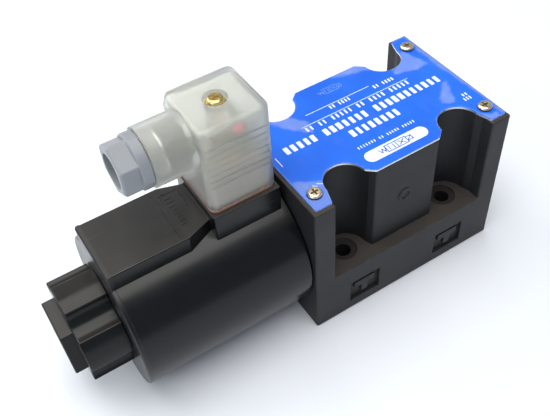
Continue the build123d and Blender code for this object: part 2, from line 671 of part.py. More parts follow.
def armature():
    """The sliding iron plunger, with two holes that let oil past it."""
    plunger = bar(ARMATURE_START, ARMATURE_END, ARMATURE_RADIUS)
    ends = plunger.edges().filter_by(GeomType.CIRCLE)
    plunger = chamfer(ends, SLIDE_CHAMFER)
    plunger -= bar(ARMATURE_END - ROD_SOCKET, ARMATURE_END + PAST, ROD_RADIUS)
    for side in (1, -1):
        offset = side * (ROD_RADIUS + ARMATURE_RADIUS) / 2
        plunger -= bar(ARMATURE_START - PAST, ARMATURE_END + PAST, OIL_HOLE_RADIUS, y=offset)
    return plunger


def push_rod():
    """The rod that carries the armature's push to the spool."""
    return bar(ARMATURE_END - ROD_SOCKET, SPOOL_START - TOUCH_GAP, ROD_RADIUS)


def override_pin():
    """The pin that shifts the armature by hand, with a collar that keeps it in."""
    start = TUBE_END - PIN_PROJECTION
    end = ARMATURE_START - TOUCH_GAP
    collar = end - PIN_COLLAR_LENGTH
    return turned(
        (start, 0), (start, PIN_RADIUS - SLIDE_CHAMFER), (start + SLIDE_CHAMFER, PIN_RADIUS),
        (collar, PIN_RADIUS), (collar, PIN_COLLAR_RADIUS), (end, PIN_COLLAR_RADIUS), (end, 0),
    )


def override_pin_o_ring():
    """The small seal around the override pin."""
    middle = (TUBE_END + TUBE_PLUG_FACE) / 2
    return seal_ring(middle, PIN_RADIUS + PIN_SEAL_SECTION + PIN_SEAL_PLAY / 2, PIN_SEAL_SECTION)


# ---- coil --------------------------------------------------------------------------------------------------------
def box_plan():
    """The box along the coil in plan, narrowed where it meets the platform."""
    nose = PLATFORM_START + PAST
    shoulder = nose - BOX_NOSE_LENGTH
    return make_face(Polyline(
        (SHELL_END, -BOX_HALF_WIDTH), (shoulder, -BOX_HALF_WIDTH), (nose, -BOX_NOSE_HALF_WIDTH),
        (nose, BOX_NOSE_HALF_WIDTH), (shoulder, BOX_HALF_WIDTH), (SHELL_END, BOX_HALF_WIDTH),
        close=True,
    ))


def coil_shape():
    """The outside of the moulded coil: a drum with a box and a platform on top."""
    drum = bar(SHELL_END, COIL_FACE, COIL_RADIUS)
    drum = fillet(drum.faces().sort_by(Axis.X)[-1].edges(), EDGE_ROUND)
    box = Pos(0, 0, SPOOL_Z) * extrude(box_plan(), BOX_TOP - SPOOL_Z)
    box = fillet(box.faces().sort_by(Axis.Z)[-1].edges().filter_by(Axis.X), EDGE_ROUND)
    platform = block(
        PLATFORM_START, PLATFORM_END, -PLATFORM_HALF_WIDTH, PLATFORM_HALF_WIDTH, SPOOL_Z, PLATFORM_TOP,
    )
    platform = fillet(platform.edges().filter_by(Axis.Z), EDGE_ROUND)
    platform = fillet(platform.faces().sort_by(Axis.Z)[-1].edges(), PLATFORM_ROUND)
    return drum + box + platform


def blade_places():
    """Centre of each terminal blade, and whether its flat faces X."""
    half = BLADE_SPACING / 2
    return [
        (CONNECTOR_X, -half, False),
        (CONNECTOR_X, half, False),
        (CONNECTOR_X + half, 0.0, True),
    ]


def blade_box(place, z0, z1, grow=0.0):
    """A blade-shaped box, grown on its four sides."""
    x, y, faces_x = place
    across = BLADE_THICKNESS / 2 + grow
    wide = BLADE_WIDTH / 2 + grow
    if faces_x:
        return block(x - across, x + across, y - wide, y + wide, z0, z1)
    return block(x - wide, x + wide, y - across, y + across, z0, z1)


def coil_housing():
    """The moulded black shell around the winding and the yoke."""
    shell = coil_shape()
    shell -= bar(SHELL_END - PAST, INNER_PLATE_X, YOKE_RADIUS)
    shell -= bar(INNER_PLATE_X - PAST, COIL_FACE + PAST, SHOULDER_RADIUS + SHELL_CLEARANCE)
    groove = tube(
        COIL_FACE - 2 * SEAL_SECTION, COIL_FACE + PAST,
        FACE_SEAL_RADIUS + SEAL_SECTION + SLIP, FACE_SEAL_RADIUS - SEAL_SECTION - SLIP,
    )
    shell -= groove
    for place in blade_places():
        shell -= blade_box(place, PLATFORM_TOP - BLADE_DEPTH, PLATFORM_TOP + PAST)
    shell -= post(CONNECTOR_X, 0, PLATFORM_TOP - INSERT_DEPTH, PLATFORM_TOP + PAST, INSERT_RADIUS)
    return shell


def coil_end_plate():
    """The steel plate that closes the outer end of the coil, with the coil's outline."""
    drum = Circle(COIL_RADIUS)
    rise = BOX_TOP - SPOOL_Z
    box = Pos(0, rise / 2) * Rectangle(2 * BOX_HALF_WIDTH, rise)
    plate = side_prism(drum + box, COIL_END, SHELL_END)
    plate = chamfer(plate.faces().sort_by(Axis.X)[0].edges(), EDGE_ROUND)
    return plate - bar(COIL_END - PAST, SHELL_END + PAST, COIL_BORE_RADIUS)


def coil_inner_plate():
    """The steel washer at the body end of the magnetic circuit."""
    return tube(INNER_PLATE_X - INNER_PLATE_THICKNESS, INNER_PLATE_X, YOKE_RADIUS - SLIP, COIL_BORE_RADIUS)


def yoke_ring():
    """The steel sleeve that carries the flux back around the winding."""
    return tube(SHELL_END, INNER_PLATE_X - INNER_PLATE_THICKNESS, YOKE_RADIUS - SLIP, YOKE_RADIUS - YOKE_THICKNESS)


def coil_bobbin():
    """The plastic bobbin that the wire is wound on."""
    x0 = SHELL_END + SLIP
    x1 = INNER_PLATE_X - INNER_PLATE_THICKNESS - SLIP
    flange = YOKE_RADIUS - YOKE_THICKNESS - SLIP
    barrel = COIL_BORE_RADIUS + BOBBIN_WALL
    return turned(
        (x0, COIL_BORE_RADIUS), (x0, flange), (x0 + BOBBIN_WALL, flange), (x0 + BOBBIN_WALL, barrel),
        (x1 - BOBBIN_WALL, barrel), (x1 - BOBBIN_WALL, flange), (x1, flange), (x1, COIL_BORE_RADIUS),
    )


def coil_winding():
    """The copper winding, as one solid ring."""
    x0 = SHELL_END + SLIP + BOBBIN_WALL
    x1 = INNER_PLATE_X - INNER_PLATE_THICKNESS - SLIP - BOBBIN_WALL
    return tube(x0, x1, WINDING_RADIUS, COIL_BORE_RADIUS + BOBBIN_WALL)


def coil_face_seal():
    """The O-ring between the coil and the valve body."""
    return seal_ring(COIL_FACE - SEAL_SECTION + COIL_GAP / 3, FACE_SEAL_RADIUS, SEAL_SECTION)


def coil_terminals():
    """Three flat blades that stand out of the platform."""
    blades = []
    for place in blade_places():
        blade = blade_box(place, PLATFORM_TOP - BLADE_DEPTH, PLATFORM_TOP + BLADE_HEIGHT)
        top = blade.faces().sort_by(Axis.Z)[-1]
        blades.append(chamfer(top.edges(), BLADE_CHAMFER))
    return Compound(children=blades)


def terminal_insert():
    """The threaded brass insert for the connector's centre screw."""
    insert = post(CONNECTOR_X, 0, PLATFORM_TOP - INSERT_DEPTH, PLATFORM_TOP, INSERT_RADIUS)
    low = PLATFORM_TOP - INSERT_DEPTH + INSERT_FLOOR
    return insert - post(CONNECTOR_X, 0, low, PLATFORM_TOP + PAST, SCREW_RADIUS + THREAD_CLEARANCE)


# ---- coil nut ---------------------------------------------------------------------------------------------------
def coil_nut():
    """The fluted knob with a hexagon end that clamps the coil on its tube."""
    knob = Circle(KNOB_RADIUS)
    for lobe in range(LOBES):
        angle = math.radians(270 + lobe * 360 / LOBES)
        place = Pos(FLUTE_DISTANCE * math.cos(angle), FLUTE_DISTANCE * math.sin(angle))
        knob -= place * Circle(FLUTE_RADIUS)
    knob = fillet(knob.vertices(), LOBE_ROUND)
    nut = side_prism(knob, KNOB_END, NUT_FACE)
    nut = fillet(nut.faces().sort_by(Axis.X)[0].edges(), EDGE_ROUND)
    hexagon = Rot(0, 0, HEX_TURN) * RegularPolygon(HEX_RADIUS, 6)
    hexagon = fillet(hexagon.vertices(), LOBE_ROUND)
    hex_end = side_prism(hexagon, NUT_END, KNOB_END + PAST)
    nut += fillet(hex_end.faces().sort_by(Axis.X)[0].edges(), EDGE_ROUND)
    nut -= bar(NUT_END + NUT_FLOOR, NUT_FACE + PAST, TUBE_RADIUS + THREAD_CLEARANCE)
    nut -= bar(NUT_END - PAST, NUT_FACE, PIN_WELL_RADIUS)
    seat = tube(
        NUT_FACE - 2 * SEAL_SECTION, NUT_FACE + PAST,
        NUT_SEAL_RADIUS + SEAL_SECTION + SLIP, NUT_SEAL_RADIUS - SEAL_SECTION - SLIP,
    )
    return nut - seat


def coil_nut_seal():
    """The O-ring between the nut and the coil."""
    return seal_ring(NUT_FACE - SEAL_SECTION + KNOB_GAP / 3, NUT_SEAL_RADIUS, SEAL_SECTION)


# ---- plug connector ------------------------------------------------------------------------------------------------
def square(size, corner):
    """A square in plan with rounded corners, centred on the connector."""
    return Pos(CONNECTOR_X, 0) * RectangleRounded(size, size, corner)


def connector_gasket():
    """The flat seal under the connector, with a slot for each blade."""
    outline = square(CONNECTOR_SIZE - GASKET_SHORTFALL, CONNECTOR_CORNER)
    plate = Pos(0, 0, PLATFORM_TOP) * extrude(outline, GASKET_THICKNESS)
    for place in blade_places():
        plate -= blade_box(place, PLATFORM_TOP - PAST, HOUSING_BASE + PAST, SLIP)
    return plate - post(CONNECTOR_X, 0, PLATFORM_TOP - PAST, HOUSING_BASE + PAST, SCREW_HOLE_RADIUS)


def rib_cutters():
    """Shallow grooves that leave ribs on both flanks of the housing and fade out in its round corners."""
    cutters = None
    half = CONNECTOR_SIZE / 2
    for index in range(RIB_COUNT):
        z = HOUSING_BASE + RIB_LOW + index * RIB_PITCH
        for side in (1, -1):
            y0 = side * (half - RIB_DEPTH)
            y1 = side * (half + PAST)
            groove = block(CONNECTOR_X - half, CONNECTOR_X + half, y0, y1, z, z + RIB_WIDTH)
            cutters = groove if cutters is None else cutters + groove
    return cutters


def connector_housing():
    """The clear hood of the connector with its gland sleeve and screw column."""
    hood = Pos(0, 0, HOUSING_BASE) * extrude(square(CONNECTOR_SIZE, CONNECTOR_CORNER), HOUSING_HEIGHT)
    hood = fillet(hood.faces().sort_by(Axis.Z)[-1].edges(), HOUSING_ROUND)
    hood += bar(SLEEVE_END, CONNECTOR_X, GLAND_RADIUS, z=GLAND_Z)
    corner = CONNECTOR_SIZE / 2 - CONNECTOR_CORNER
    for side in (1, -1):
        hood += Pos(CONNECTOR_X - corner, side * corner, HOUSING_TOP - LUG_DROP) * Sphere(LUG_RADIUS)
    inner = CONNECTOR_SIZE - 2 * HOUSING_WALL
    hood -= Pos(0, 0, HOUSING_BASE - PAST) * extrude(
        square(inner, CAVITY_CORNER), HOUSING_HEIGHT + PAST - HOUSING_ROOF,
    )
    hood -= bar(SLEEVE_END - PAST, SEAT_X, GLAND_BORE_RADIUS, z=GLAND_Z)
    hood -= bar(SEAT_X - PAST, CONNECTOR_X, GLAND_THROAT_RADIUS, z=GLAND_Z)
    column_low = HOUSING_BASE + CARRIER_HEIGHT + SLIP
    hood += post(CONNECTOR_X, 0, column_low, HOUSING_TOP - HOUSING_ROOF, COLUMN_RADIUS)
    hood -= post(CONNECTOR_X, 0, HOUSING_BASE, HOUSING_TOP + PAST, SCREW_HOLE_RADIUS)
    hood -= post(CONNECTOR_X, 0, HOUSING_TOP - HEAD_RECESS_DEPTH, HOUSING_TOP + PAST, HEAD_RECESS_RADIUS)
    return hood - rib_cutters()


def contact_carrier():
    """The insert that holds the contact sockets."""
    z0 = HOUSING_BASE
    z1 = z0 + CARRIER_HEIGHT
    carrier = Pos(0, 0, z0) * extrude(square(CARRIER_SIZE, CARRIER_CORNER), CARRIER_HEIGHT)
    grow = SOCKET_WALL + SLIP
    for place in blade_places():
        carrier -= blade_box(place, z0 - PAST, z0 + SOCKET_HEIGHT, grow)
        carrier -= post(place[0], place[1], z0 + SOCKET_HEIGHT - PAST, z1 + PAST, CLAMP_SCREW_RADIUS + SLIP)
    return carrier - post(CONNECTOR_X, 0, z0 - PAST, z1 + PAST, SCREW_HOLE_RADIUS)


def contact_sockets():
    """Three sleeves that grip the blades."""
    z0 = HOUSING_BASE + SOCKET_LIFT
    z1 = HOUSING_BASE + SOCKET_HEIGHT
    sockets = []
    for place in blade_places():
        sleeve = blade_box(place, z0, z1, SOCKET_WALL + SLIP)
        sockets.append(sleeve - blade_box(place, z0 - PAST, z1 - SOCKET_ROOF, SLIP))
    return Compound(children=sockets)


def terminal_clamp_screws():
    """Three slotted screws that clamp the wires over the sockets."""
    screws = []
    z = HOUSING_BASE + SOCKET_HEIGHT
    for x, y, _ in blade_places():
        top = z + CLAMP_SCREW_LENGTH
        reach = CLAMP_SCREW_RADIUS + PAST
        half = CLAMP_SLOT_WIDTH / 2
        screw = post(x, y, z, top, CLAMP_SCREW_RADIUS)
        slot = block(x - reach, x + reach, y - half, y + half, top - CLAMP_SLOT_DEPTH, top + PAST)
        screws.append(screw - slot)
    return Compound(children=screws)


def indicator_board():
    """The small circuit board that stands behind the screw column."""
    z = HOUSING_BASE + CARRIER_HEIGHT
    return block(BOARD_X, BOARD_X + BOARD_THICKNESS, -BOARD_WIDTH / 2, BOARD_WIDTH / 2, z, z + BOARD_HEIGHT)


def indicator_lamp():
    """The pilot lamp on the board."""
    z = HOUSING_BASE + CARRIER_HEIGHT + BOARD_HEIGHT - LAMP_RADIUS - LAMP_DROP
    lamp = bar(BOARD_X - LAMP_LENGTH, BOARD_X, LAMP_RADIUS, y=LAMP_INSET - BOARD_WIDTH / 2, z=z)
    return fillet(lamp.faces().sort_by(Axis.X)[0].edges(), LAMP_ROUND)


def connector_screw():
    """The long brass screw through the middle of the connector."""
    seat = HOUSING_TOP - HEAD_RECESS_DEPTH + WASHER_THICKNESS
    shank = seat - (PLATFORM_TOP - SCREW_REACH)
    return pan_screw(
        CONNECTOR_X, 0, seat, CONNECTOR_HEAD_RADIUS, CONNECTOR_HEAD_HEIGHT, SCREW_RADIUS, shank,
        CROSS_SLOT_LENGTH, CROSS_SLOT_WIDTH,
    )


def connector_screw_washer():
    """The washer under the centre screw's head."""
    z = HOUSING_TOP - HEAD_RECESS_DEPTH
    outer = post(CONNECTOR_X, 0, z, z + WASHER_THICKNESS, CONNECTOR_HEAD_RADIUS + WASHER_RIM)
    return outer - post(CONNECTOR_X, 0, z - PAST, z + WASHER_THICKNESS + PAST, SCREW_RADIUS + SLIP)


# ---- cable gland --------------------------------------------------------------------------------------------------
def gland_seal():
    """The rubber sleeve that grips the cable."""
    return tube(SEAT_X - GLAND_SEAL_LENGTH, SEAT_X, GLAND_SEAL_RADIUS, GLAND_SEAL_HOLE, z=GLAND_Z)


def gland_washer():
    """The ring between the gland nut and its seal."""
    x = SEAT_X - GLAND_SEAL_LENGTH
    return tube(x - GLAND_WASHER_THICKNESS, x, GLAND_SEAL_RADIUS, NUT_BORE_RADIUS - GLAND_WASHER_LIP, z=GLAND_Z)


def gland_nut():
    """The grey nut that tightens the gland: a threaded shank, a collar and a hexagon."""
    mouth = SLEEVE_END - NUT_GAP
    shank_end = SEAT_X - GLAND_SEAL_LENGTH - GLAND_WASHER_THICKNESS - NUT_GAP
    collar_end = mouth - NUT_COLLAR_LENGTH
    nut_end = collar_end - NUT_HEX_LENGTH
    nut = bar(mouth, shank_end, GLAND_BORE_RADIUS - GLAND_NUT_CLEARANCE, z=GLAND_Z)
    collar = bar(collar_end, mouth, NUT_COLLAR_RADIUS, z=GLAND_Z)
    nut += chamfer(collar.edges().filter_by(GeomType.CIRCLE), NUT_COLLAR_CHAMFER)
    hexagon = Rot(0, 0, 30) * RegularPolygon(NUT_HEX_RADIUS, 6)
    hexagon = fillet(hexagon.vertices(), NUT_HEX_ROUND)
    hex_part = side_prism(hexagon, nut_end, collar_end + PAST, z=GLAND_Z)
    nut += chamfer(hex_part.faces().sort_by(Axis.X)[0].edges(), NUT_HEX_CHAMFER)
    return nut - bar(nut_end - PAST, shank_end + PAST, NUT_BORE_RADIUS, z=GLAND_Z)


# ---- build ---------------------------------------------------------------------------------------------------------
def main():
    """Build and write every piece."""
    os.makedirs("parts", exist_ok=True)
    pieces = {
        "valve_body": valve_body,
        "port_o_rings": port_o_rings,
        "name_plate": name_plate,
        "name_plate_screws": name_plate_screws,
        "spool": spool,
        "spring_seat": spring_seat,
        "return_spring": return_spring,
        "end_plug": end_plug,
        "end_plug_o_ring": lambda: end_seal(1),
        "core_tube_o_ring": lambda: end_seal(-1),
        "pole_piece": pole_piece,
        "non_magnetic_ring": non_magnetic_ring,
        "guide_tube": guide_tube,
        "tube_end_plug": tube_end_plug,
        "anti_residual_shim": anti_residual_shim,
        "armature": armature,
        "push_rod": push_rod,
        "override_pin": override_pin,
        "override_pin_o_ring": override_pin_o_ring,
        "coil_housing": coil_housing,
        "coil_end_plate": coil_end_plate,
        "coil_inner_plate": coil_inner_plate,
        "yoke_ring": yoke_ring,
        "coil_bobbin": coil_bobbin,
        "coil_winding": coil_winding,
        "coil_face_seal": coil_face_seal,
        "coil_terminals": coil_terminals,
        "terminal_insert": terminal_insert,
        "coil_nut": coil_nut,
        "coil_nut_seal": coil_nut_seal,
        "connector_gasket": connector_gasket,
        "connector_housing": connector_housing,
        "contact_carrier": contact_carrier,
        "contact_sockets": contact_sockets,
        "terminal_clamp_screws": terminal_clamp_screws,
        "indicator_board": indicator_board,
        "indicator_lamp": indicator_lamp,
        "connector_screw": connector_screw,
        "connector_screw_washer": connector_screw_washer,
        "gland_seal": gland_seal,
        "gland_washer": gland_washer,
        "gland_nut": gland_nut,
    }
    for name, build in pieces.items():
        save(name, build())
        print(name)


main()
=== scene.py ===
"""Looks of a solenoid directional valve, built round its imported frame."""
import logging
import math
import random
from dataclasses import dataclass
from enum import Enum

import bmesh
import bpy
from mathutils import Matrix, Vector, noise
from mathutils.geometry import delaunay_2d_cdt


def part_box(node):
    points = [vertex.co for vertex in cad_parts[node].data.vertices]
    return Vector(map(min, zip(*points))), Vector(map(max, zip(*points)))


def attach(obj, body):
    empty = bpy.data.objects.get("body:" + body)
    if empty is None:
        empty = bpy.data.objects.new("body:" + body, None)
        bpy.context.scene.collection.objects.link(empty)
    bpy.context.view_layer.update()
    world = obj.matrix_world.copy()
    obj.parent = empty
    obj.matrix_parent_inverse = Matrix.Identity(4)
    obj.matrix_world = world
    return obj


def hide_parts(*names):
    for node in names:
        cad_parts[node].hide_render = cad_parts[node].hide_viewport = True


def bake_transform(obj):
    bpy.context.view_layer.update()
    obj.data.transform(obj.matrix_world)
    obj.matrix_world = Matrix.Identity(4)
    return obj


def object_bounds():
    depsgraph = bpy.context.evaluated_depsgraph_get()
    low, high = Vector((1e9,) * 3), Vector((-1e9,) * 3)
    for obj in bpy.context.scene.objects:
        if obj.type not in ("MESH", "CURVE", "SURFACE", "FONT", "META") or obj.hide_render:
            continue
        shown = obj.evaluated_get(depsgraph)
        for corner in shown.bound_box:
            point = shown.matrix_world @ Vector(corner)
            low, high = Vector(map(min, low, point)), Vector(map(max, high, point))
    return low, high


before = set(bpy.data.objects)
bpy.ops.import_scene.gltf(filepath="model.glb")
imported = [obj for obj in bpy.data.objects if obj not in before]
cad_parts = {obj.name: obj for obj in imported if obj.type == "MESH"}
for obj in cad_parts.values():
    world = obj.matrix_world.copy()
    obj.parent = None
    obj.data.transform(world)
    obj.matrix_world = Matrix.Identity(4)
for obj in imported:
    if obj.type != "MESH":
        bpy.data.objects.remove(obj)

CAD_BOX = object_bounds()
MM = 0.001
LOG = logging.getLogger("solenoid_valve")
Triple = tuple[float, float, float]
Colour = Triple
Span = tuple[float, float]


# ---- camera and lights ----------------------------------------------------------------------
def placed(name: str, data: bpy.types.ID) -> bpy.types.Object:
    """Make an object and link it to the scene.

    Args:
        name: The object's name.
        data: Its mesh, camera or light.

    Returns:
        The object.
    """
    made = bpy.data.objects.new(name, data)
    bpy.context.scene.collection.objects.link(made)
    return made


@dataclass(frozen=True)
class Viewpoint:
    """Where the camera stands, by its angles about the point that it looks at."""

    azimuth: float = -28.746
    elevation: float = 47.945
    roll: float = -4.826
    distance: float = 321.304 * MM
    target: Triple = (-43.394 * MM, 3.887 * MM, 39.848 * MM)
    lens: float = 49.28
    sensor: float = 36.0
    near: float = 0.01
    far: float = 20.0

    def place(self) -> bpy.types.Object:
        """Make the camera and set it as the scene's.

        Returns:
            The camera object.
        """
        turn, rise, lean = (math.radians(angle) for angle in (self.azimuth, self.elevation, self.roll))
        back = Vector((math.sin(turn) * math.cos(rise), -math.cos(turn) * math.cos(rise), math.sin(rise)))
        right = Vector((math.cos(turn), math.sin(turn), 0.0))
        up = back.cross(right)
        axis_x = right * math.cos(lean) + up * math.sin(lean)
        axis_y = up * math.cos(lean) - right * math.sin(lean)
        data = bpy.data.cameras.new("view_camera")
        data.sensor_width = self.sensor
        data.lens = self.lens
        data.clip_start = self.near
        data.clip_end = self.far
        camera = placed("view_camera", data)
        turned = Matrix((axis_x, axis_y, back)).transposed().to_4x4()
        camera.matrix_world = Matrix.Translation(Vector(self.target) + back * self.distance) @ turned
        bpy.context.scene.camera = camera
        return camera


@dataclass(frozen=True)
class SoftLight:
    """One large soft light of a small photo studio."""

    name: str
    place: Triple
    aim: Triple
    width: float
    depth: float
    power: float
    colour: Colour = (1.0, 1.0, 1.0)

    def switch_on(self) -> None:
        """Add the light to the scene, turned to what it lights."""
        data = bpy.data.lights.new(self.name, "AREA")
        data.shape = "RECTANGLE"
        data.size = self.width
        data.size_y = self.depth
        data.energy = self.power
        data.color = self.colour
        lamp = placed(self.name, data)
        lamp.location = self.place
        lamp.rotation_euler = (Vector(self.aim) - Vector(self.place)).to_track_quat("-Z", "Y").to_euler()


# ---- node trees -----------------------------------------------------------------------------
class NodeTree:
    """A node tree that is written by the script."""

    def __init__(self, tree: bpy.types.NodeTree) -> None:
        """Keep the tree."""
        self.tree = tree

    def node(self, kind: str, settings: dict[str, object], inputs: dict[object, object]) -> bpy.types.Node:
        """Add a node: its settings first, then its inputs.

        Args:
            kind: The node's type.
            settings: Its properties; "stops" are a colour ramp's (position, colour) pairs.
            inputs: Numbers, colours, Values or sockets, by the name or the index of the input.

        Returns:
            The node.
        """
        made = self.tree.nodes.new(kind)
        for name, setting in settings.items():
            if name == "stops":
                ramp = made.color_ramp.elements
                while len(ramp) < len(setting):
                    ramp.new(0.5)
                for element, (position, colour) in zip(ramp, setting):
                    element.position = position
                    element.color = (*colour, 1.0)
            else:
                setattr(made, name, setting)
        for name, given in inputs.items():
            self.feed(made.inputs[name], given)
        return made

    def feed(self, socket: bpy.types.NodeSocket, given: object) -> None:
        """Set a socket to a number or a colour, or link it to what feeds it.

        Args:
            socket: The input to feed.
            given: A number, a colour, a Value or a socket, or a list of sockets that are joined.
        """
        if isinstance(given, list):
            for one in given:
                self.feed(socket, one)
        elif isinstance(given, Value):
            self.tree.links.new(given.socket, socket)
        elif isinstance(given, bpy.types.NodeSocket):
            self.tree.links.new(given, socket)
        elif isinstance(given, tuple) and socket.type == "RGBA":
            socket.default_value = (*given, 1.0)
        else:
            socket.default_value = given


class Value:
    """A number in a shader tree, with arithmetic that adds the Math nodes it needs."""

    def __init__(self, tree: NodeTree, socket: bpy.types.NodeSocket) -> None:
        """Keep the tree and the socket that gives the number."""
        self.tree = tree
        self.socket = socket

    def _math(self, operation: str, first: object, second: object = 0.0, clamp: bool = False) -> "Value":
        """The result of one Math node on two Values or numbers, kept between 0 and 1 where clamp is set."""
        made = self.tree.node("ShaderNodeMath", {"operation": operation, "use_clamp": clamp}, {0: first, 1: second})
        return Value(self.tree, made.outputs[0])

    def __add__(self, other: object) -> "Value":
        """self + other"""
        return self._math("ADD", self, other)

    __radd__ = __add__

    def __sub__(self, other: object) -> "Value":
        """self - other"""
        return self._math("SUBTRACT", self, other)

    def __rsub__(self, other: object) -> "Value":
        """other - self"""
        return self._math("SUBTRACT", other, self)

    def __mul__(self, other: object) -> "Value":
        """self * other"""
        return self._math("MULTIPLY", self, other)

    __rmul__ = __mul__

    def clamped(self) -> "Value":
        """self, kept between 0 and 1."""
        return self._math("ADD", self, 0.0, clamp=True)

    def between(self, low: float, high: float) -> "Value":
        """A smooth step from 0 to 1 as the number goes from low to high.

        Args:
            low: Where the step starts.
            high: Where it ends.

        Returns:
            The step.
        """
        made = self.tree.node("ShaderNodeMapRange", {"interpolation_type": "SMOOTHSTEP"},
                              {"Value": self, "From Min": low, "From Max": high})
        return Value(self.tree, made.outputs[0])


class Shader(NodeTree):
    """One material's node tree, ending in a Principled surface."""

    BEVEL_SAMPLES = 6
    EDGE_GAIN = 5.0

    def __init__(self, name: str) -> None:
        """Start a material.

        Args:
            name: The material's name.
        """
        self.material = bpy.data.materials.new(name)
        self.material.use_nodes = True
        super().__init__(self.material.node_tree)
        self.surface = self.tree.nodes["Principled BSDF"]

    def set(self, **inputs: object) -> None:
        """Feed the surface's own sockets, whose names are given with _ for a space."""
        for name, given in inputs.items():
            self.feed(self.surface.inputs[name.replace("_", " ")], given)

    def place(self, stretch: Triple = (1.0, 1.0, 1.0)) -> bpy.types.NodeSocket:
        """The point of the object being shaded, stretched along its axes.

        Args:
            stretch: The scale on each axis.

        Returns:
            The vector socket.
        """
        where = self.node("ShaderNodeTexCoord", {}, {})
        mapped = self.node("ShaderNodeMapping", {}, {"Vector": where.outputs["Object"], "Scale": stretch})
        return mapped.outputs["Vector"]

    def noise(self, grain: float, detail: float = 3.0, stretch: Triple = (1.0, 1.0, 1.0)) -> Value:
        """Cloudy noise from 0 to 1.

        Args:
            grain: The size of its features, in metres.
            detail: How many finer layers it has.
            stretch: The scale on each axis.

        Returns:
            The noise.
        """
        made = self.node("ShaderNodeTexNoise", {}, {
            "Vector": self.place(stretch), "Scale": 1.0 / grain, "Detail": detail,
        })
        return Value(self, made.outputs["Fac"])

    def pits(self, grain: float) -> Value:
        """Distance to the nearest of a field of scattered points, for specks and pits."""
        made = self.node("ShaderNodeTexVoronoi", {}, {"Vector": self.place(), "Scale": 1.0 / grain})
        return Value(self, made.outputs["Distance"])

    def attribute(self, name: str) -> Value:
        """A number that the mesh carries."""
        made = self.node("ShaderNodeAttribute", {"attribute_name": name}, {})
        return Value(self, made.outputs["Fac"])

    def along(self, axis: str) -> Value:
        """The coordinate along X, Y or Z of the point being shaded, in metres."""
        split = self.node("ShaderNodeSeparateXYZ", {}, {0: self.place()})
        return Value(self, split.outputs[axis])

    def facing_up(self) -> Value:
        """How far the surface faces up.

        Returns:
            From -1, facing down, to 1, facing up.
        """
        where = self.node("ShaderNodeNewGeometry", {}, {})
        split = self.node("ShaderNodeSeparateXYZ", {}, {0: where.outputs["Normal"]})
        return Value(self, split.outputs["Z"])

    def edges(self, radius: float) -> Value:
        """How near a point is to an edge, from how much a bevel would turn the surface there.

        Args:
            radius: The reach of the edge, in metres.

        Returns:
            0 on flat faces, rising to about 1 on a square edge.
        """
        rounded = self.node("ShaderNodeBevel", {"samples": self.BEVEL_SAMPLES}, {"Radius": radius})
        where = self.node("ShaderNodeNewGeometry", {}, {})
        dot = self.node("ShaderNodeVectorMath", {"operation": "DOT_PRODUCT"},
                        {0: rounded.outputs[0], 1: where.outputs["Normal"]})
        return ((1.0 - Value(self, dot.outputs["Value"])) * self.EDGE_GAIN).clamped()

    def mix(self, low: object, high: object, factor: Value) -> bpy.types.NodeSocket:
        """The colour that goes from low to high, each a tuple or a socket, as the factor goes from 0 to 1."""
        made = self.node("ShaderNodeMix", {"data_type": "RGBA"}, {0: factor, 6: low, 7: high})
        return made.outputs[2]

    def ramp(self, factor: Value, *stops: tuple[float, Colour]) -> bpy.types.NodeSocket:
        """The colour of a ramp, whose stops are positions and colours in order, at a factor from 0 to 1."""
        return self.node("ShaderNodeValToRGB", {"stops": stops}, {"Fac": factor}).outputs["Color"]

    def bump(self, height: Value, depth: float, strength: float = 1.0, edge: float = 0.0) -> None:
        """Raise the surface by a height, over edges that are softened a little.

        Args:
            height: The height, from 0 to 1.
            depth: The depth of the relief, in metres.
            strength: How much of it shows.
            edge: The radius of the softened edges, in metres, or 0 for none.
        """
        inputs: dict[object, object] = {"Strength": strength, "Distance": depth, "Height": height}
        if edge > 0.0:
            rounded = self.node("ShaderNodeBevel", {"samples": self.BEVEL_SAMPLES}, {"Radius": edge})
            inputs["Normal"] = rounded.outputs[0]
        self.set(Normal=self.node("ShaderNodeBump", {}, inputs).outputs[0])


class GeometryTree(NodeTree):
    """Geometry nodes that start from a mesh and end in real geometry of one material."""

    def __init__(self, name: str, inputs: dict[str, str]) -> None:
        """Start a tree.

        Args:
            name: The tree's name.
            inputs: The type of each input, by its name, besides the mesh and the material.
        """
        super().__init__(bpy.data.node_groups.new(name, "GeometryNodeTree"))
        for label, kind in {"Geometry": "Geometry", **inputs, "Material": "Material"}.items():
            self.tree.interface.new_socket(label, in_out="INPUT", socket_type="NodeSocket" + kind)
        self.tree.interface.new_socket("Geometry", in_out="OUTPUT", socket_type="NodeSocketGeometry")
        self.given = self.tree.nodes.new("NodeGroupInput").outputs

    def end(self, instances: bpy.types.NodeSocket) -> None:
        """End the tree: its instances made real, in the given material.

        Args:
            instances: The socket that gives the instances.
        """
        real = self.node("GeometryNodeRealizeInstances", {}, {"Geometry": instances})
        dressed = self.node("GeometryNodeSetMaterial", {}, {
            "Geometry": real.outputs["Geometry"], "Material": self.given["Material"],
        })
        self.node("NodeGroupOutput", {}, {"Geometry": dressed.outputs["Geometry"]})

    def run(self, start: bpy.types.Mesh, values: dict[str, object]) -> bpy.types.Mesh:
        """Run the tree on a mesh and keep the result as a plain mesh.

        Args:
            start: The mesh that it starts from.
            values: The tree's inputs, by name.

        Returns:
            The new mesh.
        """
        holder = placed("tree_holder", start)
        modifier = holder.modifiers.new("tree", "NODES")
        modifier.node_group = self.tree
        for item in self.tree.interface.items_tree:
            if item.in_out == "INPUT" and item.name in values:
                modifier[item.identifier] = values[item.name]
        holder.update_tag()
        depsgraph = bpy.context.evaluated_depsgraph_get()
        made = bpy.data.meshes.new_from_object(holder.evaluated_get(depsgraph), depsgraph=depsgraph)
        bpy.data.objects.remove(holder)
        return made


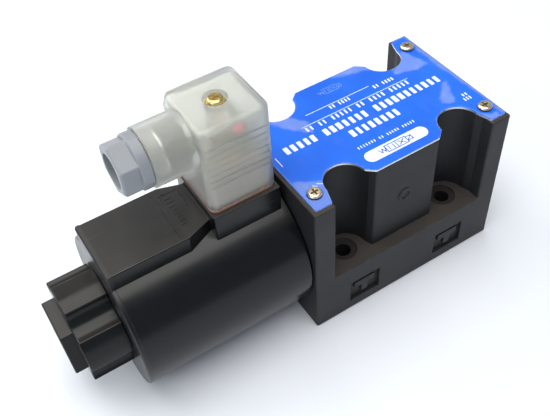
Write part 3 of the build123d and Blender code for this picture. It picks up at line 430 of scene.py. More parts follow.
# ---- finishes -------------------------------------------------------------------------------
class Lay(Enum):
    """The direction of the tool marks on metal, as the stretch of their noise."""

    ROUND_X = (1.0, 0.05, 0.05)
    FLAT = (0.12, 1.0, 1.0)
    NONE = (1.0, 1.0, 1.0)


MATERIALS: dict[str, bpy.types.Material] = {}


@dataclass(frozen=True)
class Finish:
    """A finish, under the name of its material."""

    name: str

    def paint(self, tree: Shader) -> None:
        """Set the surface in the finish's material, which each finish does in its own way."""
        raise NotImplementedError(self.name)

    def material(self) -> bpy.types.Material:
        """The finish's material, made the first time that it is asked for.

        Returns:
            The material.
        """
        if self.name not in MATERIALS:
            tree = Shader(self.name)
            self.paint(tree)
            MATERIALS[self.name] = tree.material
        return MATERIALS[self.name]


@dataclass(frozen=True)
class CastEnamel(Finish):
    """Matte black enamel over sand-cast iron, dusty on the faces that look up, with painted shade on the low ledge
    seat and the floors of the T windows.
    """

    name: str = "cast_enamel"
    base: Colour = (0.013, 0.0135, 0.0155)
    dust: Colour = (0.052, 0.042, 0.035)
    rubbed: Colour = (0.095, 0.095, 0.098)
    # the colour of the painted shade in the recesses
    painted_shade: Colour = (0.007, 0.006, 0.0055)
    ledge_top: Span = (27.4 * MM, 27.8 * MM)
    window_front: Span = (-33.3 * MM, -33.1 * MM)
    window_back: Span = (-32.4 * MM, -32.2 * MM)
    window_foot: Span = (5.0 * MM, 5.4 * MM)
    window_head: Span = (17.9 * MM, 18.1 * MM)

    def paint(self, tree: Shader) -> None:
        """Set the surface of the finish's material.

        Args:
            tree: The material's tree.
        """
        clouds = tree.noise(14.0 * MM, 5.0)
        grain = tree.noise(0.75 * MM, 6.0)
        pitting = tree.pits(1.7 * MM).between(0.05, 0.38)
        upward = tree.facing_up().between(0.35, 1.0)
        dusty = (upward * (0.35 + clouds * 0.9) + (grain - 0.5) * 0.35).clamped()
        worn = (tree.edges(0.55 * MM) * tree.noise(3.2 * MM, 4.0).between(0.42, 0.66)).clamped()
        across, height = tree.along("Y"), tree.along("Z")
        # painted shade: the up-facing ledge below the seat's top and the floors of the T windows are darkened as if
        # in shadow
        seat = upward * (1.0 - height.between(*self.ledge_top))
        window = across.between(*self.window_front) * (1.0 - across.between(*self.window_back))
        window = window * (1.0 - height.between(*self.window_head)) * height.between(*self.window_foot)
        painted_shade = (seat * 0.75 + window * 0.8).clamped()
        colour = tree.mix(tree.mix(self.base, self.dust, dusty), self.rubbed, worn * 0.7)
        colour = tree.mix(colour, self.painted_shade, painted_shade)
        tree.set(Base_Color=colour, Roughness=(0.5 + clouds * 0.16 + upward * 0.14 - worn * 0.1).clamped())
        tree.set(Specular_IOR_Level=0.42)
        tree.bump(grain * 0.62 + pitting * 0.38, 0.12 * MM, 0.75, 0.5 * MM)


@dataclass(frozen=True)
class Moulded(Finish):
    """Moulded plastic: a fine spark texture, soft mottling, and scuffs on its edges and faces."""

    colour: Colour
    scuffed: Colour
    roughness: float = 0.3
    texture: float = 0.02 * MM
    grain: float = 0.35 * MM
    scuff: float = 0.5
    specular: float = 0.5
    dust: Colour | None = None

    def paint(self, tree: Shader) -> None:
        """Set the surface of the finish's material.

        Args:
            tree: The material's tree.
        """
        clouds = tree.noise(9.0 * MM, 4.0)
        fine = tree.noise(self.grain, 3.0)
        scratch = tree.noise(0.8 * MM, 2.0, (0.05, 1.0, 0.7)).between(0.66, 0.78)
        worn = (tree.edges(0.4 * MM) * tree.noise(2.4 * MM, 3.0).between(0.4, 0.7) * self.scuff).clamped()
        colour = tree.mix(self.colour, self.scuffed, (worn + scratch * 0.12 * self.scuff + clouds * 0.06).clamped())
        if self.dust:
            colour = tree.mix(colour, self.dust, tree.facing_up().between(0.7, 1.0) * (0.75 + clouds * 0.25))
        tree.set(Base_Color=colour, Roughness=(self.roughness + (clouds - 0.5) * 0.14 + scratch * 0.1).clamped())
        tree.set(Specular_IOR_Level=self.specular)
        tree.bump(fine, self.texture, 0.6, 0.3 * MM)


@dataclass(frozen=True)
class Metal(Finish):
    """Worked metal with tool marks that run one way, and a little tarnish."""

    colour: Colour
    tarnish: Colour
    lay: Lay = Lay.NONE
    roughness: float = 0.26
    patchy: float = 0.35

    def paint(self, tree: Shader) -> None:
        """Set the surface of the finish's material.

        Args:
            tree: The material's tree.
        """
        marks = tree.noise(0.22 * MM, 4.0, self.lay.value)
        patches = tree.noise(4.5 * MM, 5.0)
        dull = (patches.between(0.42, 0.72) * self.patchy + tree.edges(0.25 * MM) * 0.15).clamped()
        tree.set(Base_Color=tree.mix(self.colour, self.tarnish, dull), Metallic=1.0)
        tree.set(Roughness=(self.roughness + (marks - 0.5) * 0.22 + dull * 0.2).clamped())
        tree.bump(marks, 0.012 * MM, 0.7, 0.18 * MM)


@dataclass(frozen=True)
class YellowZinc(Finish):
    """Yellow chromate over zinc: gold with faint pink and green bands, and painted shade low in its recesses and
    round the foot of the head.
    """

    crown: float
    # painted shade: its colour, and the two depths below the crown over which it fades in
    painted_shade_colour: Colour = (0.09, 0.06, 0.02)
    painted_shade_low: float = 0.95 * MM
    painted_shade_high: float = 0.75 * MM

    def paint(self, tree: Shader) -> None:
        """Set the surface of the finish's material.

        Args:
            tree: The material's tree.
        """
        bands = tree.noise(1.6 * MM, 3.0)
        marks = tree.noise(0.2 * MM, 4.0)
        bright = tree.ramp(bands, (0.2, (0.92, 0.70, 0.34)), (0.45, (0.97, 0.88, 0.60)),
                           (0.6, (0.95, 0.70, 0.50)), (0.8, (0.82, 0.84, 0.52)))
        # painted shade: below the crown, the cross recess and the foot of the head by the plate are darkened and
        # dulled as if in shadow
        painted_shade = 1.0 - tree.along("Z").between(self.crown - self.painted_shade_low, self.crown - self.painted_shade_high)
        colour = tree.mix(bright, self.painted_shade_colour, painted_shade)
        tree.set(Base_Color=colour, Metallic=1.0 - painted_shade * 0.6, Roughness=(0.2 + marks * 0.16 + painted_shade * 0.3).clamped())
        tree.bump(marks, 0.014 * MM, 0.6, 0.2 * MM)


@dataclass(frozen=True)
class Rubber(Finish):
    """Matte moulded rubber with a faint bloom."""

    colour: Colour
    bloom: Colour

    def paint(self, tree: Shader) -> None:
        """Set the surface of the finish's material.

        Args:
            tree: The material's tree.
        """
        clouds = tree.noise(5.0 * MM, 5.0)
        fine = tree.noise(0.3 * MM, 4.0)
        tree.set(Base_Color=tree.mix(self.colour, self.bloom, clouds.between(0.35, 0.85)))
        tree.set(Roughness=(0.62 + fine * 0.2).clamped())
        tree.bump(fine, 0.03 * MM, 0.7, 0.25 * MM)


@dataclass(frozen=True)
class PlateBlue(Finish):
    """Blue printed aluminium: satin, with bare metal at its cut edges."""

    name: str = "plate_print_blue"
    blue: Colour = (0.009, 0.145, 0.78)
    deep: Colour = (0.006, 0.11, 0.66)
    bare: Colour = (0.72, 0.76, 0.80)

    def paint(self, tree: Shader) -> None:
        """Set the surface of the finish's material.

        Args:
            tree: The material's tree.
        """
        clouds = tree.noise(22.0 * MM, 3.0)
        fine = tree.noise(0.18 * MM, 3.0, Lay.FLAT.value)
        cut = 1.0 - tree.facing_up().between(0.2, 0.6)
        colour = tree.mix(tree.mix(self.blue, self.deep, clouds.between(0.3, 0.8)), self.bare, cut)
        tree.set(Base_Color=colour, Metallic=cut * 0.9, Roughness=(0.36 + fine * 0.1).clamped())
        tree.set(Specular_IOR_Level=0.3)
        tree.bump(fine, 0.008 * MM, 0.5)


@dataclass(frozen=True)
class Ink(Finish):
    """Printed ink, a little uneven."""

    colour: Colour
    thin: Colour

    def paint(self, tree: Shader) -> None:
        """Set the surface of the finish's material.

        Args:
            tree: The material's tree.
        """
        cover = tree.noise(0.5 * MM, 4.0).between(0.25, 0.6)
        tree.set(Base_Color=tree.mix(self.thin, self.colour, cover), Roughness=(0.5 - cover * 0.1).clamped())
        tree.bump(cover, 0.006 * MM, 0.4)


@dataclass(frozen=True)
class ClearFilm(Finish):
    """Thin clear film: hardly there where it clings, hazy where it has lifted."""

    name: str = "clear_film"
    clear: Colour = (0.80, 0.88, 1.0)
    haze: Colour = (0.62, 0.74, 0.90)

    def paint(self, tree: Shader) -> None:
        """Set the surface of the finish's material.

        Args:
            tree: The material's tree.
        """
        # lifted is also high along the rim, where the haze is a painted highlight of the film's edge
        lifted = tree.attribute("lifted")
        wisps = tree.noise(6.0 * MM, 4.0, (1.0, 0.35, 1.0)).between(0.5, 0.8)
        cover = (0.01 + lifted * (0.22 + wisps * 0.14) + wisps * 0.02).clamped()
        tree.set(Base_Color=tree.mix(self.clear, self.haze, lifted), Alpha=cover)
        tree.set(Roughness=(0.1 + lifted * 0.12).clamped())
        tree.bump(wisps, 0.05 * MM, 0.4)
        tree.material.surface_render_method = "BLENDED"


@dataclass(frozen=True)
class MilkyHood(Finish):
    """Milky translucent nylon, through which what is inside shows as soft shapes."""

    name: str = "milky_hood"
    body: Colour = (0.93, 0.93, 0.875)
    shade: Colour = (0.88, 0.89, 0.81)

    def paint(self, tree: Shader) -> None:
        """Set the surface of the finish's material.

        Args:
            tree: The material's tree.
        """
        clouds = tree.noise(8.0 * MM, 3.0)
        fine = tree.noise(0.4 * MM, 3.0)
        tree.set(Base_Color=tree.mix(self.body, self.shade, clouds.between(0.25, 0.85)))
        tree.set(Roughness=(0.30 + clouds * 0.14).clamped())
        tree.set(Transmission_Weight=0.8, IOR=1.28, Subsurface_Weight=0.32, Subsurface_Radius=(1.0, 1.0, 0.85),
                 Subsurface_Scale=0.003)
        tree.bump(fine, 0.02 * MM, 0.5, 0.5 * MM)


@dataclass(frozen=True)
class TintedResin(Finish):
    """Clear tinted resin of a pilot lamp."""

    name: str = "lamp_resin"
    colour: Colour = (0.95, 0.12, 0.22)
    pale: Colour = (1.0, 0.3, 0.36)

    def paint(self, tree: Shader) -> None:
        """Set the surface of the finish's material.

        Args:
            tree: The material's tree.
        """
        swirl = tree.noise(0.9 * MM, 2.0)
        tree.set(Base_Color=tree.mix(self.colour, self.pale, swirl), Roughness=(0.08 + swirl * 0.08).clamped())
        tree.set(Transmission_Weight=0.35, IOR=1.5, Emission_Color=self.colour, Emission_Strength=0.5)
        tree.bump(swirl, 0.01 * MM, 0.3)


@dataclass(frozen=True)
class SolderMask(Finish):
    """Green circuit board with thin tracks under its mask."""

    name: str = "solder_mask"
    mask: Colour = (0.01, 0.12, 0.045)
    copper: Colour = (0.03, 0.26, 0.09)

    def paint(self, tree: Shader) -> None:
        """Set the surface of the finish's material.

        Args:
            tree: The material's tree.
        """
        track = tree.noise(1.6 * MM, 0.0, (1.0, 0.2, 1.0)).between(0.52, 0.56)
        tree.set(Base_Color=tree.mix(self.mask, self.copper, track), Roughness=0.32 + track * 0.06)
        tree.bump(track, 0.03 * MM, 0.8)


@dataclass(frozen=True)
class StudioFloor(Finish):
    """Pale smooth board that the valve stands on."""

    name: str = "studio_floor"
    shade: Colour = (0.80, 0.83, 0.88)
    pale: Colour = (0.88, 0.90, 0.93)

    def paint(self, tree: Shader) -> None:
        """Set the surface of the finish's material."""
        clouds = tree.noise(120.0 * MM, 3.0)
        tree.set(Base_Color=tree.mix(self.shade, self.pale, clouds), Roughness=0.55 + clouds * 0.1)


WHITE_INK = Ink("white_ink", (0.86, 0.90, 0.96), (0.55, 0.68, 0.92))
FAINT_INK = Ink("faint_ink", (0.16, 0.33, 0.80), (0.06, 0.20, 0.78))
BLUE_INK = Ink("blue_ink", (0.03, 0.12, 0.55), (0.2, 0.3, 0.7))
COIL_BLACK = Moulded("coil_black", (0.004, 0.0045, 0.0055), (0.045, 0.045, 0.047), 0.22, 0.01 * MM,
                     specular=0.3, dust=(0.050, 0.047, 0.044))
LID_BLACK = Moulded("lid_marks", (0.004, 0.0045, 0.0055), (0.045, 0.045, 0.047), 0.28, 0.01 * MM,
                    specular=0.3, dust=(0.044, 0.041, 0.038))
PLATE_BLACK = Moulded("plate_black", (0.006, 0.0062, 0.007), (0.06, 0.06, 0.062), 0.3,
                      specular=0.35, dust=(0.050, 0.047, 0.044))
NUT_BLACK = Moulded("nut_black", (0.006, 0.0075, 0.0078), (0.05, 0.05, 0.05), 0.2, 0.01 * MM,
                    specular=0.24, dust=(0.026, 0.024, 0.021))
BOBBIN_NYLON = Moulded("bobbin_nylon", (0.72, 0.70, 0.60), (0.6, 0.58, 0.5), 0.45)
CARRIER_NYLON = Moulded("carrier_nylon", (0.40, 0.33, 0.315), (0.34, 0.28, 0.27), 0.5)
GLAND_GREY = Moulded("gland_grey", (0.26, 0.275, 0.295), (0.36, 0.37, 0.39), 0.42, 0.02 * MM)
GASKET_SILICONE = Rubber("gasket_silicone", (0.52, 0.25, 0.165), (0.62, 0.34, 0.25))
SEAL_RUBBER = Rubber("seal_rubber", (0.012, 0.012, 0.013), (0.03, 0.03, 0.032))
GROUND_STEEL = Metal("ground_steel", (0.62, 0.63, 0.65), (0.42, 0.42, 0.43), Lay.ROUND_X, 0.18, 0.15)
SPRING_STEEL = Metal("spring_steel", (0.42, 0.42, 0.44), (0.22, 0.21, 0.21), Lay.NONE, 0.3, 0.3)
TURNED_STEEL = Metal("turned_steel", (0.55, 0.55, 0.56), (0.34, 0.33, 0.32), Lay.ROUND_X, 0.28, 0.3)
BRONZE = Metal("brazed_bronze", (0.72, 0.50, 0.26), (0.45, 0.30, 0.18), Lay.ROUND_X, 0.3, 0.35)
BRASS = Metal("brass", (0.83, 0.64, 0.26), (0.50, 0.36, 0.15), Lay.NONE, 0.24, 0.35)
TINNED = Metal("tinned_brass", (0.78, 0.76, 0.72), (0.55, 0.52, 0.46), Lay.NONE, 0.3, 0.3)
COPPER = Metal("enamelled_copper", (0.72, 0.30, 0.14), (0.45, 0.16, 0.08), Lay.NONE, 0.2, 0.3)
BLACK_OXIDE = Metal("black_oxide", (0.05, 0.05, 0.054), (0.025, 0.022, 0.02), Lay.ROUND_X, 0.38, 0.5)
ZINC_WASHER = Metal("zinc_washer", (0.6, 0.6, 0.62), (0.42, 0.43, 0.45), Lay.FLAT, 0.3, 0.3)


# ---- mesh helpers ---------------------------------------------------------------------------
def dress(finish: Finish, *nodes: str) -> None:
    """Give CAD nodes a finish.

    Args:
        finish: The finish.
        nodes: The nodes' names.
    """
    for node in nodes:
        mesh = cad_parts[node].data
        mesh.materials.clear()
        mesh.materials.append(finish.material())
        LOG.info("dressed %s in %s", node, finish.name)


def add_piece(name: str, mesh: bpy.types.Mesh, body: str) -> bpy.types.Object:
    """Link a finished mesh as a piece that rides on a body.

    Args:
        name: The piece's name.
        mesh: Its mesh, in place.
        body: The body that carries it.

    Returns:
        The piece.
    """
    mesh.name = name
    piece = placed(name, mesh)
    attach(piece, body)
    LOG.info("built %s with %d faces on %s", name, len(mesh.polygons), body)
    return piece


def merged_copy(node: str) -> bmesh.types.BMesh:
    """A copy of a CAD node's mesh with its doubles merged.

    Args:
        node: The node's name.

    Returns:
        The copy.
    """
    shape = bmesh.new()
    shape.from_mesh(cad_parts[node].data)
    bmesh.ops.remove_doubles(shape, verts=shape.verts, dist=0.001 * MM)
    return shape


def settled(name: str, shape: bmesh.types.BMesh, finish: Finish) -> bpy.types.Mesh:
    """Turn a shape into a mesh with a finish, and free the shape.

    Args:
        name: The mesh's name.
        shape: The shape.
        finish: The finish.

    Returns:
        The mesh.
    """
    mesh = bpy.data.meshes.new(name)
    shape.to_mesh(mesh)
    shape.free()
    mesh.materials.append(finish.material())
    return mesh


def rim_loops(shape: bmesh.types.BMesh, height: float) -> list[list[Vector]]:
    """The closed outlines of the flat top of a shape.

    Args:
        shape: A mesh with merged doubles.
        height: The height of its top.

    Returns:
        One list of points for each outline, the longest first.
    """
    def on_top(face: bmesh.types.BMFace) -> bool:
        """Whether a face lies in the top."""
        return face.normal.z > 0.99 and abs(face.calc_center_median().z - height) < 0.01 * MM

    rim = [edge for edge in shape.edges if sum(on_top(face) for face in edge.link_faces) == 1]
    links: dict[bmesh.types.BMVert, list[bmesh.types.BMVert]] = {}
    for edge in rim:
        first, second = edge.verts
        links.setdefault(first, []).append(second)
        links.setdefault(second, []).append(first)
    loops = []
    while links:
        start = next(iter(links))
        loop = [start]
        while True:
            onward = [vert for vert in links[loop[-1]] if vert not in loop[-2:]]
            if not onward or onward[0] is start:
                break
            loop.append(onward[0])
        for vert in loop:
            links.pop(vert, None)
        loops.append([vert.co.copy() for vert in loop])
    return sorted(loops, key=len, reverse=True)


def inside(point: tuple[float, float], outline: list[Vector]) -> bool:
    """Whether a point lies inside a closed outline in plan.

    Args:
        point: The x and y of the point.
        outline: The outline's points in order.

    Returns:
        True inside.
    """
    x, y = point
    within = False
    for here, there in zip(outline, outline[1:] + outline[:1]):
        if (here.y > y) != (there.y > y):
            if x < here.x + (y - here.y) * (there.x - here.x) / (there.y - here.y):
                within = not within
    return within


# ---- name plate print -----------------------------------------------------------------------
@dataclass(frozen=True)
class Stroke:
    """One flat bar of print: its centre, size and turn in the plane of the plate."""

    x: float
    y: float
    length: float
    width: float
    turn: float = 0.0


TILE_CORNER = 0.1        # round of a tile's corners, as a share of its sides


class Weight(Enum):
    """How heavy a line of blocks is printed, as the share of each block's pitch that is inked."""

    BOLD = 0.64
    PLAIN = 0.52
    THIN = 0.42


@dataclass(frozen=True)
class BlockLine:
    """A line of plain blocks that stands for printing. It runs towards -X, as the plate is read."""

    start: float
    end: float
    base: float
    height: float
    words: tuple[int, ...]
    weight: Weight = Weight.PLAIN
    seed: int = 1

    def strokes(self) -> list[Stroke]:
        """The blocks of the line.

        Returns:
            One stroke for each block.
        """
        draw = random.Random(self.seed)
        places = sum(self.words) + len(self.words) - 1
        pitch = (self.start - self.end) / places
        blocks = []
        place = 0
        for count in self.words:
            for _ in range(count):
                share = self.weight.value * draw.uniform(0.8, 1.08)
                middle = self.start - (place + 0.5) * pitch
                blocks.append(Stroke(middle, self.base - self.height / 2, pitch * share, self.height))
                place += 1
            place += 1
        return blocks


class TileTree(GeometryTree):
    """Geometry nodes that put a closed, round-cornered tile on each point of a mesh."""

    def __init__(self, name: str) -> None:
        """Build the tree, which reads each tile's "size" and "turn" from its point.

        Args:
            name: The tree's name.
        """
        super().__init__(name, {"Thickness": "Float", "Corner": "Float"})
        tile = self.node("GeometryNodeCurvePrimitiveQuadrilateral", {}, {"Width": 1.0, "Height": 1.0})
        corner = self.node("GeometryNodeFilletCurve", {"mode": "POLY"}, {
            "Curve": tile.outputs["Curve"], "Count": 2, "Radius": self.given["Corner"],
        })
        filled = self.node("GeometryNodeFillCurve", {"mode": "NGONS"}, {"Curve": corner.outputs["Curve"]})
        raised = self.node("GeometryNodeExtrudeMesh", {"mode": "FACES"}, {
            "Mesh": filled.outputs["Mesh"], "Individual": False, "Offset Scale": 1.0,
        })
        under = self.node("GeometryNodeFlipFaces", {}, {"Mesh": filled.outputs["Mesh"]})
        both = self.node("GeometryNodeJoinGeometry", {}, {0: [raised.outputs["Mesh"], under.outputs["Mesh"]]})
        closed = self.node("GeometryNodeMergeByDistance", {}, {"Geometry": both.outputs[0]})
        size = self.node("GeometryNodeInputNamedAttribute", {"data_type": "FLOAT_VECTOR"}, {"Name": "size"})
        turn = self.node("GeometryNodeInputNamedAttribute", {"data_type": "FLOAT"}, {"Name": "turn"})
        angle = self.node("ShaderNodeCombineXYZ", {}, {"Z": turn.outputs["Attribute"]})
        thick = self.node("ShaderNodeCombineXYZ", {}, {"X": 1.0, "Y": 1.0, "Z": self.given["Thickness"]})
        scale = self.node("ShaderNodeVectorMath", {"operation": "MULTIPLY"}, {
            0: size.outputs["Attribute"], 1: thick.outputs[0],
        })
        laid = self.node("GeometryNodeInstanceOnPoints", {}, {
            "Points": self.given["Geometry"], "Instance": closed.outputs["Geometry"],
            "Rotation": angle.outputs[0], "Scale": scale.outputs[0],
        })
        self.end(laid.outputs["Instances"])

    def lay(self, strokes: list[Stroke], height: float, thickness: float, finish: Finish) -> bpy.types.Mesh:
        """Lay a set of strokes as thin tiles on a flat face.

        Args:
            strokes: The strokes, in millimetres.
            height: The height of the face, in metres.
            thickness: The thickness of the tiles, in metres.
            finish: Their finish.

        Returns:
            The mesh of all the tiles.
        """
        points = bpy.data.meshes.new("stroke_points")
        points.from_pydata([(s.x * MM, s.y * MM, height) for s in strokes], [], [])
        points.attributes.new("size", "FLOAT_VECTOR", "POINT")
        points.attributes.new("turn", "FLOAT", "POINT")
        sizes, turns = points.attributes["size"].data, points.attributes["turn"].data
        for index, stroke in enumerate(strokes):
            sizes[index].vector = (stroke.length * MM, stroke.width * MM, 1.0)
            turns[index].value = stroke.turn
        return self.run(points, {"Thickness": thickness, "Corner": TILE_CORNER, "Material": finish.material()})


def line_stroke(x0: float, y0: float, x1: float, y1: float, width: float) -> Stroke:
    """The stroke of a line from x0, y0 to x1, y1."""
    length = math.hypot(x1 - x0, y1 - y0) + width
    return Stroke((x0 + x1) / 2, (y0 + y1) / 2, length, width, math.atan2(y1 - y0, x1 - x0))


@dataclass
class NamePlate:
    """The blue plate with its print, the clear film over it and the four screws."""

    ink_thickness: float = 0.03 * MM
    film_gap: float = 0.10 * MM
    film_step: float = 0.85 * MM
    film_overhang: float = 0.25 * MM
    screw_clearance: float = 3.35 * MM
    panel_x: float = -0.4
    panel_y: float = -21.2
    panel_half_length: float = 15.1
    panel_half_height: float = 3.0
    panel_segments: int = 16
    film_seed: int = 7
    hole_points: int = 28
    hole_margin: float = 1.1
    jitter: float = 0.3
    crease_fade: float = 1.1
    crease_wander: float = 0.9
    # lift along the rim: the film is raised there, and its haze there is a painted highlight of the film's edge
    rim_lift_and_glint: float = 0.8
    rest_height: float = 0.05
    ripple_height: float = 0.04
    wrinkle_height: float = 0.32

    def build(self) -> None:
        """Dress the plate and its screws, and add the print and the film."""
        dress(PlateBlue(), "name_plate")
        dress(YellowZinc("plate_screw_zinc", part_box("name_plate_screws")[1].z), "name_plate_screws")
        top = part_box("name_plate")[1].z
        ink = self.ink_thickness
        tiles = TileTree("print_tiles")
        faint = valve_sign(-2.1, 21.8, 3.6, 3.4, 0.3)
        symbol = valve_sign(self.panel_x, self.panel_y, 5.0, 3.6, 0.42)
        for name, mesh in (
            ("plate_print", tiles.lay(self.white_strokes(), top, ink, WHITE_INK)),
            ("plate_faint_print", tiles.lay(faint, top, ink, FAINT_INK)),
            ("plate_panel", self.panel(top)),
            ("plate_symbol", tiles.lay(symbol, top + ink, ink, BLUE_INK)),
            ("plate_film", self.film(top)),
        ):
            add_piece(name, mesh, "housing")

    def white_strokes(self) -> list[Stroke]:
        """The plate's white print: plain blocks for words, and the rules between them.

        Returns:
            The strokes.
        """
        lines = [
            BlockLine(12.8, -12.2, -4.2, 4.1, (8,), Weight.BOLD, 3),
            BlockLine(39.7, -39.3, 2.6, 4.1, (11, 7, 5), Weight.BOLD, 4),
            BlockLine(27.8, -25.4, 7.5, 2.6, (5, 4, 2, 5, 2, 2), Weight.THIN, 5),
            BlockLine(24.0, 13.1, 12.9, 2.0, (4, 2), Weight.PLAIN, 6),
            BlockLine(1.3, -9.5, 13.1, 2.1, (4, 2), Weight.PLAIN, 7),
            BlockLine(13.9, -14.6, -13.9, 1.4, (5, 5, 2, 7), Weight.THIN, 8),
            BlockLine(42.3, 38.2, -15.6, 2.0, (3,), Weight.PLAIN, 9),
            BlockLine(42.4, 39.4, -13.2, 1.6, (2,), Weight.PLAIN, 10),
        ]
        strokes = [stroke for line in lines for stroke in line.strokes()]
        strokes.append(line_stroke(28.5, 8.2, -25.6, 8.2, 0.3))
        strokes.append(line_stroke(12.1, 13.7, -20.0, 13.7, 0.3))
        strokes.append(line_stroke(-43.8, -0.4, -43.8, -5.7, 0.35))
        strokes.append(line_stroke(-38.2, -20.9, -36.4, -22.2, 0.4))
        strokes.append(line_stroke(-40.2, -21.0, -38.9, -22.0, 0.4))
        return strokes

    def panel(self, top: float) -> bpy.types.Mesh:
        """The white panel: a closed, thin tile with half-round ends.

        Args:
            top: The height of the plate's face.

        Returns:
            The mesh.
        """
        shape = bmesh.new()
        straight = self.panel_half_length - self.panel_half_height
        segments = self.panel_segments
        low, high = [], []
        for index in range(2 * segments + 2):
            side = 1 if index <= segments else -1
            share = (index if side > 0 else index - segments - 1) / segments
            angle = -math.pi / 2 + math.pi * share + (0 if side > 0 else math.pi)
            x = (self.panel_x + side * straight + self.panel_half_height * math.cos(angle)) * MM
            y = (self.panel_y + self.panel_half_height * math.sin(angle)) * MM
            low.append(shape.verts.new((x, y, top)))
            high.append(shape.verts.new((x, y, top + self.ink_thickness)))
        shape.faces.new(high)
        shape.faces.new(reversed(low))
        for index in range(len(low)):
            onward = (index + 1) % len(low)
            shape.faces.new((low[index], low[onward], high[onward], high[index]))
        return settled("panel", shape, WHITE_INK)

    def creases(self) -> list[tuple[tuple[float, float], ...]]:
        """The patches where the film has lifted, as outlines in millimetres.

        Returns:
            The outlines.
        """
        return [
            ((39.2, 25.5), (42.3, 10.6), (35.4, 9.8), (24.8, 13.2), (30.0, 18.5)),
            ((43.8, 22.0), (48.0, 25.0), (48.0, -14.0), (45.4, -14.0), (44.0, 6.0)),
            ((41.4, -2.8), (38.4, -2.6), (28.0, -13.2), (34.6, -16.8)),
            ((3.0, 25.9), (19.0, 22.4), (22.0, 32.0), (2.0, 32.0)),
            ((-49.0, -12.4), (-34.2, -21.4), (-29.0, -24.0), (-29.0, -38.0), (-49.0, -38.0)),
            ((46.0, -15.5), (44.8, -26.0), (44.6, -38.0), (49.0, -38.0), (49.0, -15.5)),
            ((33.0, -17.0), (36.4, -20.4), (38.6, -27.6), (44.0, -29.6), (44.0, -38.0), (30.0, -38.0)),
            ((-36.5, 20.0), (-34.0, 14.5), (-27.0, 5.5), (-23.0, 3.0), (-21.0, 10.0), (-30.0, 22.0)),
            ((-46.0, 24.0), (-36.0, 20.0), (-36.0, 38.0), (-49.0, 38.0)),
        ]

    def lifted(self, x: float, y: float) -> float:
        """How far the film has lifted at a point of the plate.

        Args:
            x: The point's x, in millimetres.
            y: The point's y, in millimetres.

        Returns:
            From 0 where it clings to 1 in the middle of a bubble.
        """
        best = 0.0
        wander = self.crease_wander * noise.noise(Vector((x * 0.35, y * 0.35, self.film_seed)))
        for outline in self.creases():
            corners = [Vector((px, py, 0.0)) for px, py in outline]
            if not inside((x, y), corners):
                continue
            nearest = min(edge_distance(x, y, here, there)
                          for here, there in zip(corners, corners[1:] + corners[:1]))
            best = max(best, min(1.0, max(0.0, (nearest + wander) / self.crease_fade)))
        return best

    def film(self, top: float) -> bpy.types.Mesh:
        """The clear film: the plate's outline, cut out round the screw heads, wrinkled where it has lifted.

        Args:
            top: The height of the plate's face.

        Returns:
            The mesh, with the lift at each point as an attribute.
        """
        shape = merged_copy("name_plate")
        outline, *holes = rim_loops(shape, top)
        shape.free()
        centres = [sum(hole, Vector()) / len(hole) for hole in holes]
        angles = [math.tau * k / self.hole_points for k in range(self.hole_points)]
        rings = [[centre + Vector((math.cos(angle), math.sin(angle), 0)) * self.screw_clearance for angle in angles]
                 for centre in centres]
        points = [Vector((p.x, p.y)) for p in outline]
        loops = [list(range(len(outline)))]
        for ring in rings:
            loops.append(list(range(len(points), len(points) + len(ring))))
            points.extend(Vector((p.x, p.y)) for p in ring)
        low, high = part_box("name_plate")
        draw = random.Random(self.film_seed)
        across = int((high.x - low.x) / self.film_step)
        deep = int((high.y - low.y) / self.film_step)
        for i in range(1, across):
            for j in range(1, deep):
                x = low.x + (i + draw.uniform(-self.jitter, self.jitter)) * self.film_step
                y = low.y + (j + draw.uniform(-self.jitter, self.jitter)) * self.film_step
                clear = all(math.hypot(x - c.x, y - c.y) > self.screw_clearance * self.hole_margin for c in centres)
                if clear and inside((x, y), outline):
                    points.append(Vector((x, y)))
        edges = [(loop[k], loop[(k + 1) % len(loop)]) for loop in loops for k in range(len(loop))]
        flat, _, faces, _, _, _ = delaunay_2d_cdt(points, edges, [], 1, 1e-7)
        kept = []
        for face in faces:
            middle = sum((flat[k] for k in face), Vector((0, 0))) / len(face)
            in_hole = any(math.hypot(middle.x - c.x, middle.y - c.y) < self.screw_clearance for c in centres)
            if not in_hole and inside((middle.x, middle.y), outline):
                kept.append(face)
        lifts = [self.lifted(p.x / MM, p.y / MM) for p in flat]
        # the rim is raised a little, and its haze there is a painted highlight of the film's cut edge
        lifts[:len(outline)] = [max(lift, self.rim_lift_and_glint) for lift in lifts[:len(outline)]]
        mesh = bpy.data.meshes.new("film")
        mesh.from_pydata([(p.x, p.y, top + self.film_height(p, lift)) for p, lift in zip(flat, lifts)], [], kept)
        mesh.attributes.new("lifted", "FLOAT", "POINT").data.foreach_set("value", lifts)
        mesh.shade_smooth()
        mesh.materials.append(ClearFilm().material())
        return mesh

    def film_height(self, point: Vector, lift: float) -> float:
        """How high the film stands over the plate.

        Args:
            point: The point in plan, in metres.
            lift: How far it has lifted there, from 0 to 1.

        Returns:
            The height, in metres.
        """
        x, y = point.x / MM, point.y / MM
        wrinkle = 0.5 + 0.5 * noise.noise(Vector((x * 0.45 + y * 0.2, y * 0.18 - x * 0.06, 3.1)))
        ripple = noise.noise(Vector((x * 0.12, y * 0.12, 9.7)))
        raised = self.rest_height + self.ripple_height * ripple + lift * self.wrinkle_height * wrinkle
        return self.film_gap + raised * MM


def edge_distance(x: float, y: float, here: Vector, there: Vector) -> float:
    """The distance in plan from a point to a straight edge.

    Args:
        x: The point's x.
        y: The point's y.
        here: One end of the edge.
        there: Its other end.

    Returns:
        The distance.
    """
    run = there - here
    share = ((x - here.x) * run.x + (y - here.y) * run.y) / run.length_squared
    share = min(1.0, max(0.0, share))
    return math.hypot(x - here.x - share * run.x, y - here.y - share * run.y)


